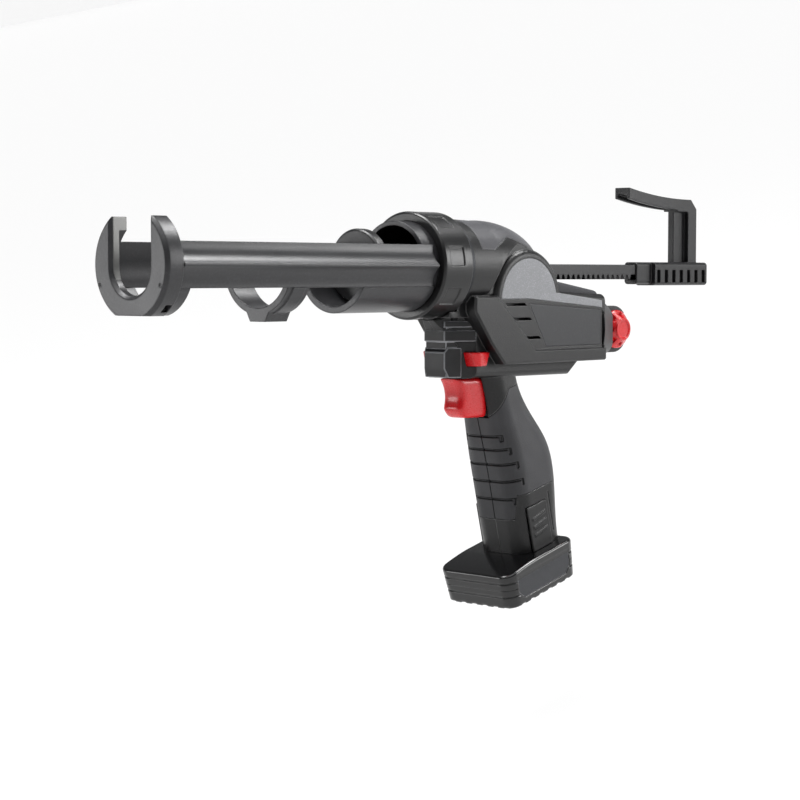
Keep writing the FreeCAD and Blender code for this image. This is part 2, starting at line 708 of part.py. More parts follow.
def piston_plate():
    plate = spun([
        (piston_rear_x, 0), (piston_rear_x, PISTON_R - PISTON_RIM_BEVEL),
        (piston_rear_x + PISTON_RIM_BEVEL, PISTON_R), (PISTON_FRONT_X - PISTON_RIM_BEVEL, PISTON_R),
        (PISTON_FRONT_X, PISTON_R - PISTON_RIM_BEVEL), (PISTON_FRONT_X, 0)])
    hole_z = rack_axis_z()
    hub = rod_x(piston_rear_x - PISTON_HUB_LENGTH, piston_rear_x, PISTON_HUB_R, hole_z)
    plate = plate.fuse(hub)
    hub_rear_x = piston_rear_x - PISTON_HUB_LENGTH
    socket = box(hub_rear_x - OVERRUN, piston_rear_x, -RACK_HALF_WIDTH, RACK_HALF_WIDTH,
                 rack_root_z, RACK_TOP_Z)
    head_x = PISTON_FRONT_X - PISTON_HEAD_SINK
    plate = plate.cut(socket).cut(rod_x(piston_rear_x - OVERRUN, PISTON_FRONT_X, PISTON_SCREW_R, hole_z))
    return plate.cut(rod_x(head_x - PISTON_SCREW_HEAD, PISTON_FRONT_X, PISTON_SCREW_HEAD_R, hole_z))


def piston_screw():
    hole_z = rack_axis_z()
    head_x = PISTON_FRONT_X - PISTON_HEAD_SINK
    head = rod_x(head_x - PISTON_SCREW_HEAD, head_x, PISTON_SCREW_HEAD_R, hole_z)
    shank = rod_x(rack_front_x - PISTON_SCREW_LENGTH, head_x - PISTON_SCREW_HEAD, PISTON_SCREW_R, hole_z)
    key = prism_x(hexagon(0, hole_z, PISTON_KEY_R), head_x - PISTON_KEY_DEPTH, head_x)
    return joined([head, shank]).cut(key)


def pull_hook():
    top_z = HOOK_NECK_TOP_Z
    neck = rounded(-HOOK_NECK_HALF, HOOK_NECK_HALF, HOOK_NECK_LOW_Z, top_z, HOOK_WEB_HALF)
    neck = prism_x(neck, HOOK_BLOCK_FRONT_X, HOOK_NECK_FRONT_X)
    block = rounded(-HOOK_BLOCK_HALF, HOOK_BLOCK_HALF, HOOK_BLOCK_LOW_Z, top_z, HOOK_WEB_HALF)
    block = prism_x(block, hook_block_rear_x, HOOK_BLOCK_FRONT_X)
    arm = prism_y(hook_arm_steps(), -HOOK_ARM_HALF, HOOK_ARM_HALF)
    arm = arm.cut(both_sides(hook_recess())).cut(hook_trough())
    hook = joined([neck, block, arm])
    hook = hook.cut(box(HOOK_NECK_FRONT_X + OVERRUN, rack_rear_x, -RACK_HALF_WIDTH, RACK_HALF_WIDTH,
                        RACK_TIP_Z, RACK_TOP_Z))
    step = HOOK_BLOCK_LENGTH / HOOK_SLOT_COUNT
    for index in range(HOOK_SLOT_COUNT):
        x = HOOK_BLOCK_FRONT_X - (index + 0.5) * step
        slot = box(x - HOOK_SLOT_WIDTH / 2, x + HOOK_SLOT_WIDTH / 2, HOOK_BLOCK_HALF - HOOK_SLOT_DEPTH,
                   HOOK_BLOCK_HALF + OVERRUN, HOOK_SLOT_LOW_Z, HOOK_SLOT_TOP_Z)
        hook = hook.cut(both_sides(slot))
    return hook.cut(hook_pins())


def hook_arm_steps():
    """Side outline of the upright arm and the top arm."""
    low_z = HOOK_NECK_TOP_Z - OVERRUN
    mid_x = (hook_arm_front_x + HOOK_TIP_X) / 2
    mid_z = (HOOK_TOP_Z + HOOK_TIP_TOP_Z) / 2 - HOOK_SAG
    return [
        (hook_arm_rear_x, low_z), (hook_arm_front_x, low_z), (hook_arm_front_x, HOOK_INNER_Z),
        ((mid_x, (HOOK_INNER_Z + HOOK_TIP_LOW_Z) / 2 - HOOK_SAG), (HOOK_TIP_X, HOOK_TIP_LOW_Z)),
        (HOOK_TIP_X, HOOK_TIP_TOP_Z),
        ((mid_x, mid_z), (hook_arm_rear_x + HOOK_CORNER, HOOK_TOP_Z)),
        (hook_arm_rear_x, HOOK_TOP_Z - HOOK_CORNER)]


def hook_recess():
    """The open recess beside the upright's web."""
    rear_x = hook_arm_rear_x + HOOK_RIM
    front_x = hook_arm_front_x + OVERRUN
    return prism_y([
        (rear_x, HOOK_NECK_TOP_Z), (front_x, HOOK_NECK_TOP_Z), (front_x, HOOK_INNER_Z - HOOK_SAG),
        (rear_x + HOOK_SAG, HOOK_INNER_Z - HOOK_SAG), (rear_x, HOOK_INNER_Z - HOOK_SAG - HOOK_SAG)],
        HOOK_WEB_HALF, HOOK_ARM_HALF)


def hook_trough():
    """The hollow along the underside of the top arm, open at the tip."""
    rear_x = hook_arm_front_x + HOOK_TROUGH_WALL
    front_x = HOOK_TIP_X + OVERRUN
    mid_x = (hook_arm_front_x + HOOK_TIP_X) / 2
    mid_z = (HOOK_INNER_Z + HOOK_TIP_LOW_Z) / 2 - HOOK_SAG
    return prism_y([
        (rear_x, HOOK_INNER_Z - HOOK_TROUGH_DEPTH), (rear_x, HOOK_INNER_Z + HOOK_TROUGH_DEPTH),
        ((mid_x, mid_z + HOOK_TROUGH_DEPTH), (front_x, HOOK_TIP_LOW_Z + HOOK_TROUGH_DEPTH)),
        (front_x, HOOK_INNER_Z - HOOK_TROUGH_DEPTH)], -HOOK_TROUGH_HALF, HOOK_TROUGH_HALF)


def hook_pins():
    places = hook_pin_places()
    reach = HOOK_BLOCK_HALF - HOOK_SLOT_DEPTH
    return Part.makeCompound([rod_y(-reach, reach, HOOK_PIN_R, x, rack_axis_z()) for x in places])


# Gear train
def hexagon(across, up, radius):
    """The corners of a key hole around a place."""
    turn = 2 * math.pi / KEY_SIDES
    angles = [index * turn for index in range(KEY_SIDES)]
    return [(across + radius * math.cos(angle), up + radius * math.sin(angle)) for angle in angles]


def involute(base_r, r):
    """Polar angle of the involute of base_r at radius r."""
    roll = math.sqrt(max((r / base_r) ** 2 - 1, 0.0))
    return roll - math.atan(roll)


def drive_pinion():
    base_r = pinion_r * math.cos(math.radians(PRESSURE_ANGLE))
    tip_r = pinion_r + PINION_ADDENDUM
    root_r = pinion_r - PINION_DEDENDUM
    half_angle = (pitch / 2 - BACKLASH / 2) / (2 * pinion_r)
    pitch_angle = involute(base_r, pinion_r)
    low_r = max(base_r, root_r)
    radii = [low_r + (tip_r - low_r) * share for share in FLANK_SHARES]
    edges = []
    turn = 2 * math.pi / PINION_TEETH

    def point(r, angle):
        x = PINION_X + r * math.sin(angle)
        return FreeCAD.Vector(x, -PINION_HALF_WIDTH, pinion_z + r * math.cos(angle))

    def half_width(r):
        return half_angle + pitch_angle - involute(base_r, r)

    for tooth in range(PINION_TEETH):
        middle = tooth * turn
        rise = [point(root_r, middle - half_width(low_r))]
        rise += [point(r, middle - half_width(r)) for r in radii]
        fall = [point(r, middle + half_width(r)) for r in reversed(radii)]
        fall += [point(root_r, middle + half_width(low_r))]
        for flank in (rise, fall):
            radial = flank[:2] if flank is rise else flank[-2:]
            curve = flank[1:] if flank is rise else flank[:-1]
            spline = Part.BSplineCurve()
            spline.interpolate(curve)
            pieces = [Part.LineSegment(*radial).toShape(), spline.toShape()]
            edges += pieces if flank is rise else pieces[::-1]
            if flank is rise:
                edges.append(Part.Arc(rise[-1], point(tip_r, middle), fall[0]).toShape())
        next_root = point(root_r, middle + turn - half_width(low_r))
        edges.append(Part.Arc(fall[-1], point(root_r, middle + turn / 2), next_root).toShape())
    wire = Part.Wire(Part.__sortEdges__(edges))
    gear = Part.Face(wire).extrude(FreeCAD.Vector(0, 2 * PINION_HALF_WIDTH, 0))
    shaft = rod_y(-SHAFT_HALF, SHAFT_HALF, SHAFT_R, PINION_X, pinion_z)
    return joined([gear, shaft])


def bearing_at(y0, y1):
    outer = rod_y(y0, y1, BEARING_R, PINION_X, pinion_z)
    return outer.cut(rod_y(y0, y1, SHAFT_R + SHAFT_FIT, PINION_X, pinion_z))


def pinion_bearings():
    inner = BEARING_OUTER_Y - BEARING_WIDTH
    return Part.makeCompound([bearing_at(inner, BEARING_OUTER_Y), bearing_at(-BEARING_OUTER_Y, -inner)])


def guide_span(front_x):
    half = RACK_HALF_WIDTH + GUIDE_WALL
    low_z = RACK_TIP_Z - GUIDE_WALL
    return box(front_x - GUIDE_LENGTH, front_x, -half, half, low_z, RACK_TOP_Z + GUIDE_WALL)


def guide_places():
    return (case_front_x, CASE_REAR_X + GUIDE_LENGTH)


def rack_guides():
    half = RACK_HALF_WIDTH + GUIDE_FIT
    guides = []
    for x in guide_places():
        hole = box(x - GUIDE_LENGTH, x, -half, half, RACK_TIP_Z - GUIDE_FIT, RACK_TOP_Z + GUIDE_FIT)
        guides.append(guide_span(x).cut(hole))
    return Part.makeCompound(guides)


def gear_case():
    nose = rod_x(nose_floor_x, NOSE_FRONT_X, NOSE_R).cut(rod_x(nose_floor_x, NOSE_FRONT_X, NOSE_BORE_R))
    floor = rod_x(case_front_x, nose_floor_x, NOSE_R)
    block = box(CASE_REAR_X, case_front_x, -CASE_HALF, CASE_HALF, CASE_LOW_Z, CASE_TOP_Z)
    head = box(GEARBOX_FRONT_X, CASE_HEAD_FRONT_X, -CASE_HALF, CASE_HALF, CASE_HEAD_LOW_Z, CASE_LOW_Z)
    case = joined([nose, floor, block, head])
    half = RACK_HALF_WIDTH + CHANNEL_PLAY
    channel = box(CASE_REAR_X - OVERRUN, nose_floor_x + OVERRUN, -half, half,
                  RACK_TIP_Z - CHANNEL_PLAY, RACK_TOP_Z + CHANNEL_PLAY)
    pocket = rod_y(-PINION_HALF_WIDTH - CHANNEL_PLAY, PINION_HALF_WIDTH + CHANNEL_PLAY,
                   pinion_r + PINION_ADDENDUM + CHANNEL_PLAY, PINION_X, pinion_z)
    bores = rod_y(-CASE_HALF - OVERRUN, CASE_HALF + OVERRUN, BEARING_R, PINION_X, pinion_z)
    inner = BEARING_OUTER_Y - BEARING_WIDTH
    web = rod_y(-inner, inner, BEARING_R, PINION_X, pinion_z)
    passage = rod_y(-inner, inner, SHAFT_R + CHANNEL_PLAY, PINION_X, pinion_z)
    case = case.cut(channel).cut(pocket).cut(bores.cut(web)).cut(passage)
    gearbox = rod_x(gearbox_rear_x, GEARBOX_FRONT_X, GEARBOX_FLANGE_R, MOTOR_AXIS_Z)
    case = case.cut(gearbox)
    for x in guide_places():
        case = case.cut(guide_span(x))
    return case


def reduction_gearbox():
    flange = rod_x(GEARBOX_FRONT_X - GEARBOX_FLANGE, GEARBOX_FRONT_X, GEARBOX_FLANGE_R, MOTOR_AXIS_Z)
    drum = rod_x(gearbox_rear_x, GEARBOX_FRONT_X - GEARBOX_FLANGE, GEARBOX_R, MOTOR_AXIS_Z)
    rear = rod_x(gearbox_rear_x, gearbox_rear_x + GEARBOX_FLANGE, GEARBOX_FLANGE_R, MOTOR_AXIS_Z)
    return joined([flange, drum, rear])


def motor():
    can = rod_x(motor_rear_x, gearbox_rear_x, MOTOR_R, MOTOR_AXIS_Z)
    flats = box(motor_rear_x, gearbox_rear_x, -MOTOR_FLAT, MOTOR_FLAT, MOTOR_AXIS_Z - MOTOR_R,
                MOTOR_AXIS_Z + MOTOR_R)
    boss = rod_x(motor_rear_x - MOTOR_BOSS, motor_rear_x, MOTOR_BOSS_R, MOTOR_AXIS_Z)
    return joined([can.common(flats), boss])


def control_board():
    return rod_x(board_rear_x, motor_rear_x - MOTOR_BOSS, BOARD_R, MOTOR_AXIS_Z)


def pot_shaft_hole():
    return rod_y(-EAR_HALF - OVERRUN, EAR_HALF + OVERRUN, DIAL_STEM_R + SHAFT_FIT, DIAL_AXIS_X, DIAL_AXIS_Z)


def dial_potentiometer():
    body = rod_y(-POT_HALF, POT_HALF, POT_R, DIAL_AXIS_X, DIAL_AXIS_Z)
    low_z = DIAL_AXIS_Z - POT_HALF
    lead = box(DIAL_AXIS_X, board_rear_x, -POT_LEAD_HALF, POT_LEAD_HALF, low_z, DIAL_AXIS_Z + POT_HALF)
    return joined([body, lead]).cut(pot_shaft_hole())


# Housing
def head_solid(shrink):
    """The round gear head and its dome, drawn in by shrink."""
    return spun([
        (head_front_x, 0), (head_front_x, HEAD_R - shrink), (HEAD_STEP_X, HEAD_STEP_R - shrink),
        ((HEAD_MID_X + shrink / 2, HEAD_MID_R - shrink), (HEAD_REAR_X + shrink, HEAD_REAR_R - shrink / 2)),
        (HEAD_REAR_X + shrink, 0)])


def rounded_disc(x, z, r, half, edge):
    """A disc across the tool, with its axis along y and its rim rounded."""
    k = edge * (1 - math.sqrt(0.5))
    profile = closed_wire(lambda u, v: FreeCAD.Vector(x + u, v, z), [
        (0, -half), (r - edge, -half), ((r - k, -half + k), (r, -half + edge)), (r, half - edge),
        ((r - k, half - k), (r - edge, half)), (0, half)])
    return Part.Face(profile).revolve(FreeCAD.Vector(x, 0, z), FreeCAD.Vector(0, 1, 0), 360)


def motor_block():
    shoulder = rounded_disc(SHOULDER_X, SHOULDER_Z, SHOULDER_R, MOTOR_HALF, MOTOR_EDGE)
    barrel = Part.makeLoft([
        cap_section(MOTOR_FRONT_X, MOTOR_HALF, MOTOR_LOW_Z, MOTOR_FRONT_TOP_Z, MOTOR_EDGE),
        cap_section(MOTOR_REAR_X, MOTOR_HALF, MOTOR_LOW_Z, MOTOR_REAR_TOP_Z, MOTOR_EDGE)], True, True)
    return joined([shoulder, barrel])


def cheek_block():
    block = prism_y([
        (CHEEK_FRONT_X, CHEEK_TOP_Z), (CHEEK_BACK_X, CHEEK_TOP_Z), (CHEEK_PANEL_X, CHEEK_RAIL_TOP_Z),
        (MOTOR_REAR_X, CHEEK_RAIL_TOP_Z), (MOTOR_REAR_X, MOTOR_LOW_Z), (CHEEK_HEEL_X, MOTOR_LOW_Z),
        (CHEEK_KNEE_X, CHEEK_KNEE_Z), (CHEEK_FRONT_X, CHEEK_FRONT_LOW_Z)], -cheek_half, cheek_half)
    rim = side_edges(block, cheek_half, lambda x, z: x > MOTOR_REAR_X + OVERRUN)
    return block.makeChamfer(CHEEK_CHAMFER, rim)


def neck_block():
    block = prism_y([
        (NECK_BROW_X, CHEEK_TOP_Z), (NECK_BROW_X, NECK_BROW_Z), (NECK_SLOPE_X, NECK_SLOPE_Z),
        (NECK_SLOPE_X, NECK_LOW_Z), (TAIL_REAR_X, TAIL_LOW_Z), (TAIL_TIP_X, TAIL_TIP_Z),
        (TAIL_TIP_X, MOTOR_AXIS_Z), (CHEEK_BACK_X, CHEEK_TOP_Z)], -NECK_HALF, NECK_HALF)
    rim = side_edges(block, NECK_HALF, lambda x, z: z < CHEEK_FRONT_LOW_Z and x > TAIL_TIP_X + OVERRUN)
    block = block.makeFillet(NECK_EDGE, [e for e in rim if e.Length > NECK_EDGE * 2])
    front_x = NECK_BROW_X + OVERRUN
    corner = prism_z([
        (BOW_REAR_X, NECK_HALF - BOW_SETBACK), (front_x, bow_half(front_x) - BOW_SETBACK), (front_x, REACH),
        (BOW_REAR_X, REACH)], -REACH, NECK_BROW_Z + BUMPER_STEP)
    return block.cut(both_sides(corner))


def bow_half(x):
    """Half the width of the tapered front of the neck and its bumper at x."""
    slope = (NECK_HALF - BOW_FRONT_HALF) / (BUMPER_FRONT_X - BOW_REAR_X)
    return BOW_FRONT_HALF + (BUMPER_FRONT_X - x) * slope


def vent_slots():
    slots = []
    for x, z, length in (
            (VENT_TOP_X, VENT_TOP_Z, VENT_TOP_LENGTH), (VENT_MID_X, VENT_MID_Z, VENT_MID_LENGTH),
            (VENT_LOW_X, VENT_LOW_Z, VENT_LOW_LENGTH)):
        low_z = z - VENT_HEIGHT
        slots.append(prism_y([
            (x, z), (x - length, z), (x - length - VENT_LEAN, low_z), (x - VENT_LEAN, low_z)],
            MOTOR_HALF - VENT_DEPTH, REACH))
    return both_sides(Part.makeCompound(slots))


def rear_slits():
    """The bowed slits between the plain panels and the end cap."""
    mid_z = (SLIT_TOP_Z + SLIT_LOW_Z) / 2
    slit = prism_y([
        (SLIT_FRONT_X, SLIT_TOP_Z), ((SLIT_FRONT_X + SLIT_BOW, mid_z), (SLIT_FRONT_X, SLIT_LOW_Z)),
        ((SLIT_FRONT_X - SLIT_WIDTH, mid_z), (SLIT_FRONT_X, SLIT_TOP_Z))], MOTOR_HALF - SLIT_DEPTH, REACH)
    return both_sides(slit)


def grip_section(index, shrink):
    x0 = -GRIP_BACK * GRIP_BACK_SHARES[index] + shrink
    x1 = GRIP_FRONT * GRIP_FRONT_SHARES[index] - shrink
    half = GRIP_HALF * GRIP_HALF_SHARES[index] - shrink
    z = GRIP_TOP_Z * GRIP_HEIGHT_SHARES[index]
    return closed_wire(at_z(z), rounded(x0, x1, -half, half, GRIP_CORNER - shrink))


def grip_solid(shrink):
    return Part.makeLoft([grip_section(i, shrink) for i in range(len(GRIP_HEIGHT_SHARES))], True)


def grip_skin(depth):
    return grip_solid(0.0).cut(grip_solid(depth))


def bow_plan(front_x, rear_x, inset):
    half = bow_half(rear_x) - inset
    nose = bow_half(front_x)
    return [
        (rear_x, -half), (front_x - inset, -nose), (front_x - inset, nose), (rear_x, half)]


def front_bumper():
    """A soft bow under the collar: a fin, a rib and a chin on one narrower core."""
    rear_x = NECK_SLOPE_X - BUMPER_ROOT
    fin_low = BUMPER_TOP_Z - BUMPER_FIN
    rib_top = fin_low - BUMPER_GROOVE
    rib_low = rib_top - BUMPER_RIB
    chin_top = rib_low - BUMPER_WAIST
    chin = prism_z(bow_plan(BUMPER_FRONT_X, rear_x, 0.0), BUMPER_LOW_Z, chin_top)
    wedge = prism_y([
        (BUMPER_FRONT_X + OVERRUN, BUMPER_LOW_Z - OVERRUN), (BUMPER_FRONT_X + OVERRUN, chin_top + OVERRUN),
        (BUMPER_FRONT_X - BUMPER_CHAMFER, chin_top + OVERRUN), (BUMPER_FRONT_X, chin_top - BUMPER_CHAMFER),
        (BUMPER_FRONT_X, BUMPER_LOW_Z + BUMPER_CHIN_BEVEL),
        (BUMPER_FRONT_X - BUMPER_CHAMFER, BUMPER_LOW_Z - OVERRUN)], -REACH, REACH)
    bow = joined([
        prism_z(bow_plan(BUMPER_FRONT_X, rear_x, BUMPER_STEP), BUMPER_LOW_Z, BUMPER_TOP_Z),
        prism_z(bow_plan(BUMPER_FRONT_X, BOW_REAR_X, 0.0), fin_low, BUMPER_TOP_Z),
        prism_z(bow_plan(BUMPER_FRONT_X, BOW_REAR_X, 0.0), rib_low, rib_top),
        chin.cut(wedge)])
    inner = CASE_HALF + CHANNEL_PLAY
    return bow.cut(box(-REACH, rear_x, -inner, inner, -REACH, REACH))


def cover_steps():
    return [
        (COVER_FRONT_X, REACH), (COVER_FRONT_X, COVER_TAB_Z), (COVER_TAB_REAR_X, COVER_TAB_Z),
        (COVER_WAIST_X, COVER_WAIST_Z), (COVER_REAR_X, COVER_REAR_Z), (COVER_REAR_X, REACH)]


def top_cover():
    skin = head_solid(0.0).cut(head_solid(COVER_DEPTH))
    return skin.common(prism_y(cover_steps(), -REACH, REACH))


def side_panel_steps():
    """The pale panel: most of a disc over the gears, with a strip running back above the plain panel."""
    r = SHOULDER_R - PANEL_RIM
    front = (SHOULDER_X + math.sqrt(r ** 2 - (PANEL_LOW_Z - SHOULDER_Z) ** 2), PANEL_LOW_Z)
    rear = (SHOULDER_X - math.sqrt(r ** 2 - (PANEL_STRIP_Z - SHOULDER_Z) ** 2), PANEL_STRIP_Z)
    return [
        front, ((SHOULDER_X, SHOULDER_Z + r), rear), (PANEL_REAR_X, PANEL_STRIP_Z - PANEL_STRIP_FALL),
        (PANEL_REAR_X, PANEL_STRIP_Z - PANEL_STRIP_FALL - PANEL_STRIP), (NAME_TOP_FRONT_X, PANEL_LOW_Z)]


def name_panel_steps():
    return [
        (NAME_TOP_FRONT_X, NAME_TOP_FRONT_Z), (NAME_REAR_X, NAME_TOP_REAR_Z), (NAME_REAR_X, NAME_LOW_Z),
        (NAME_LOW_FRONT_X, NAME_LOW_Z)]


def panel(steps):
    return prism_y(steps, MOTOR_HALF - PANEL_DEPTH, MOTOR_HALF)


def grip_rubber():
    region = prism_y([
        (REACH, RUBBER_FRONT_LOW_Z), (RUBBER_STEP_X, RUBBER_FRONT_LOW_Z),
        (RUBBER_STEP_X - RUBBER_STEP_LEAN, RUBBER_BACK_LOW_Z), (-REACH, RUBBER_BACK_LOW_Z),
        (-REACH, RUBBER_TOP_Z), (RUBBER_SEAM_X, RUBBER_TOP_Z), (GRIP_FRONT, RUBBER_FRONT_TOP_Z),
        (REACH, RUBBER_FRONT_TOP_Z)], 0, REACH)
    return grip_skin(RUBBER_DEPTH).common(region).cut(standing(trigger_pocket()))


def finger_grooves():
    """Grooves across the front of the grip, each turned down in a hook where it ends on the side."""
    bars = []
    for height_share, end_share in zip(GROOVE_HEIGHT_SHARES, GROOVE_END_SHARES):
        top_z = GRIP_TOP_Z * height_share
        end_x = GRIP_FRONT * end_share
        bars.append(box(end_x, REACH, -REACH, REACH, top_z - GROOVE_WIDTH, top_z))
        bars.append(box(end_x - GROOVE_WIDTH, end_x, -REACH, REACH, top_z - GROOVE_HOOK, top_z))
    return grip_skin(GROOVE_DEPTH).common(joined(bars))


def foot_slits():
    slit = box(FOOT_SLIT_X, FOOT_SLIT_X + FOOT_SLIT_WIDTH, -REACH, REACH, FOOT_SLIT_LOW_Z, FOOT_SLIT_TOP_Z)
    return grip_skin(GROOVE_DEPTH).common(slit)


def cap_section(x, half, low_z, top_z, corner):
    return closed_wire(at_x(x), rounded(-half, half, low_z, top_z, corner))


def rear_end_cap():
    front_half = MOTOR_HALF - CAP_FRONT_INSET
    top_z = MOTOR_REAR_TOP_Z - CAP_FRONT_INSET
    low_z = MOTOR_LOW_Z + CAP_FRONT_INSET
    shell = Part.makeLoft([
        cap_section(MOTOR_REAR_X, front_half, low_z, top_z, CAP_CORNER),
        cap_section(CAP_REAR_X, CAP_REAR_HALF, CAP_REAR_LOW_Z, CAP_REAR_TOP_Z, CAP_CORNER)], True, True)
    disc = rod_y(-EAR_HALF, EAR_HALF, EAR_R, DIAL_AXIS_X, DIAL_AXIS_Z)
    ear_low = DIAL_AXIS_Z - EAR_R
    web = box(DIAL_AXIS_X, CAP_REAR_X + OVERRUN, -EAR_HALF, EAR_HALF, ear_low, DIAL_AXIS_Z + EAR_R)
    ears = joined([disc, web]).common(box(EAR_REAR_X, MOTOR_REAR_X, -REACH, REACH, -REACH, REACH))
    well = rod_y(dial_low_y - DIAL_GAP, REACH, DIAL_R + DIAL_GAP, DIAL_AXIS_X, DIAL_AXIS_Z)
    cap = joined([shell.cut(both_sides(well)), ears])
    pocket = rod_y(-POT_HALF, POT_HALF, POT_R, DIAL_AXIS_X, DIAL_AXIS_Z)
    pot_low = DIAL_AXIS_Z - POT_R
    slot = box(DIAL_AXIS_X, MOTOR_REAR_X + OVERRUN, -POT_HALF, POT_HALF, pot_low, DIAL_AXIS_Z + POT_R)
    return cap.cut(pocket).cut(slot).cut(pot_shaft_hole()).cut(rear_slits())


def dial_knob():
    """One face of the thumb dial: a rim, a cone with dimples and a dished cap."""
    outer = dial_low_y + DIAL_RIM
    lip = DIAL_FACE_R - DIAL_FACE_LIP
    profile = closed_wire(lambda u, v: FreeCAD.Vector(DIAL_AXIS_X + u, v, DIAL_AXIS_Z), [
        (0, dial_low_y), (DIAL_R, dial_low_y), (DIAL_R, outer), (DIAL_R - DIAL_BEVEL, outer + DIAL_BEVEL),
        (DIAL_FACE_R, dial_top_y - DIAL_BEVEL), (DIAL_FACE_R, dial_top_y), (lip, dial_top_y),
        (lip - DIAL_FACE_DEPTH, dial_top_y - DIAL_FACE_DEPTH), (0, dial_top_y - DIAL_FACE_DEPTH)])
    axis = FreeCAD.Vector(0, 1, 0)
    knob = Part.Face(profile).revolve(FreeCAD.Vector(DIAL_AXIS_X, 0, DIAL_AXIS_Z), axis, 360)
    for index in range(DIAL_DIMPLES):
        angle = 2 * math.pi * index / DIAL_DIMPLES
        x = DIAL_AXIS_X + DIAL_DIMPLE_REACH * math.cos(angle)
        z = DIAL_AXIS_Z + DIAL_DIMPLE_REACH * math.sin(angle)
        knob = knob.cut(rod_y(outer + DIAL_BEVEL, REACH, DIAL_DIMPLE_R, x, z))
    return knob


def speed_dial():
    stem = rod_y(-dial_low_y - DIAL_STEM_DEPTH, dial_low_y, DIAL_STEM_R, DIAL_AXIS_X, DIAL_AXIS_Z)
    return Part.makeCompound([joined([dial_knob(), stem]), mirrored(dial_knob()).cut(stem)])


def lock_steps(play):
    low_z = LOCK_LOW_Z - play
    return [
        (LOCK_FRONT_X + play, LOCK_TOP_Z + play), (LOCK_REAR_X - play, LOCK_TOP_Z + play),
        (LOCK_REAR_X + LOCK_TAPER - play, low_z), (LOCK_FRONT_X - LOCK_TAPER / 2 + play, low_z)]


def lock_button():
    bar = prism_y(lock_steps(0.0), -LOCK_IN_Y, LOCK_OUT_Y)
    ridge_x = LOCK_FRONT_X + (LOCK_REAR_X - LOCK_FRONT_X) * LOCK_RIDGE_SHARE
    wedge = prism_z([
        (LOCK_FRONT_X + OVERRUN, LOCK_OUT_Y - LOCK_RIDGE), (ridge_x, LOCK_OUT_Y),
        (LOCK_REAR_X - OVERRUN, LOCK_OUT_Y - LOCK_RIDGE), (LOCK_REAR_X - OVERRUN, -LOCK_IN_Y),
        (LOCK_FRONT_X + OVERRUN, -LOCK_IN_Y)], LOCK_LOW_Z, LOCK_TOP_Z)
    return bar.common(wedge)


def trigger():
    body = prism_y([
        (TRIGGER_TOP_X, trigger_top_z), ((TRIGGER_MID_X, TRIGGER_MID_Z), (TRIGGER_LIP_X, TRIGGER_LIP_Z)),
        (TRIGGER_LOW_X, TRIGGER_LOW_Z), (TRIGGER_REAR_X, TRIGGER_LOW_Z), (TRIGGER_REAR_X, trigger_top_z)],
        -TRIGGER_HALF, TRIGGER_HALF)
    rim = side_edges(body, TRIGGER_HALF, lambda x, z: x > TRIGGER_LOW_X and z < trigger_top_z - OVERRUN)
    body = body.makeFillet(TRIGGER_EDGE, rim)
    stem = box(TRIGGER_REAR_X - STEM_LENGTH, TRIGGER_REAR_X, -STEM_HALF, STEM_HALF, STEM_LOW_Z, STEM_TOP_Z)
    return joined([body, stem])


def trigger_pocket():
    half = TRIGGER_HALF + TRIGGER_PLAY
    return box(pocket_rear_x, REACH, -half, half, TRIGGER_LOW_Z - TRIGGER_PLAY, NECK_LOW_Z)


def switch_module():
    return box(SWITCH_REAR_X, SWITCH_FRONT_X, -SWITCH_HALF, SWITCH_HALF, SWITCH_LOW_Z, SWITCH_TOP_Z)


def screw_solids():
    screws = []
    for x, z in SCREW_PLACES:
        head = rod_y(SCREW_SEAT_Y - SCREW_HEAD, SCREW_SEAT_Y, SCREW_HEAD_R, x, z)
        shank = rod_y(SCREW_SEAT_Y, SCREW_END_Y, SCREW_R, x, z)
        face_y = SCREW_SEAT_Y - SCREW_HEAD
        key = prism_y(hexagon(x, z, SCREW_KEY_R), face_y, face_y + SCREW_KEY_DEPTH)
        screws.append(joined([head, shank]).cut(key))
    return screws


def screw_holes():
    holes = []
    for x, z in SCREW_PLACES:
        holes.append(rod_y(SCREW_SEAT_Y, SCREW_END_Y, SCREW_R, x, z))
        holes.append(rod_y(-REACH, SCREW_SEAT_Y, SCREW_HEAD_R + SCREW_HEAD_PLAY, x, z))
    return holes


def barrel_cavities():
    """What the housing leaves open in the barrel frame for the pieces inside it and for those that move."""
    half = PASSAGE_HALF
    nose = rod_x(head_front_x - OVERRUN, NOSE_FRONT_X, NOSE_R)
    floor = rod_x(case_front_x, head_front_x, NOSE_R)
    block = box(CASE_REAR_X, case_front_x, -CASE_HALF, CASE_HALF, CASE_LOW_Z, CASE_TOP_Z)
    head = box(GEARBOX_FRONT_X, CASE_HEAD_FRONT_X, -CASE_HALF, CASE_HALF, CASE_HEAD_LOW_Z, CASE_LOW_Z)
    shaft = rod_y(-SHAFT_HALF - OVERRUN, SHAFT_HALF + OVERRUN, SHAFT_R + CHANNEL_PLAY, PINION_X, pinion_z)
    passage = box(HEAD_REAR_X - MOTOR_EDGE, CASE_REAR_X, -half, half, PASSAGE_LOW_Z, PASSAGE_TOP_Z)
    gearbox = rod_x(gearbox_rear_x, GEARBOX_FRONT_X, GEARBOX_FLANGE_R, MOTOR_AXIS_Z)
    can = rod_x(MOTOR_REAR_X - OVERRUN, gearbox_rear_x, MOTOR_R, MOTOR_AXIS_Z)
    plunger = box(SWITCH_FRONT_X, pocket_rear_x, -STEM_HALF - TRIGGER_PLAY, STEM_HALF + TRIGGER_PLAY,
                  STEM_LOW_Z - TRIGGER_PLAY, STEM_TOP_Z + TRIGGER_PLAY)
    lock = prism_y(lock_steps(LOCK_PLAY), -REACH, REACH)
    controls = [trigger_pocket(), plunger, switch_module(), lock]
    return [nose, floor, block, head, shaft, passage, gearbox, can] + controls


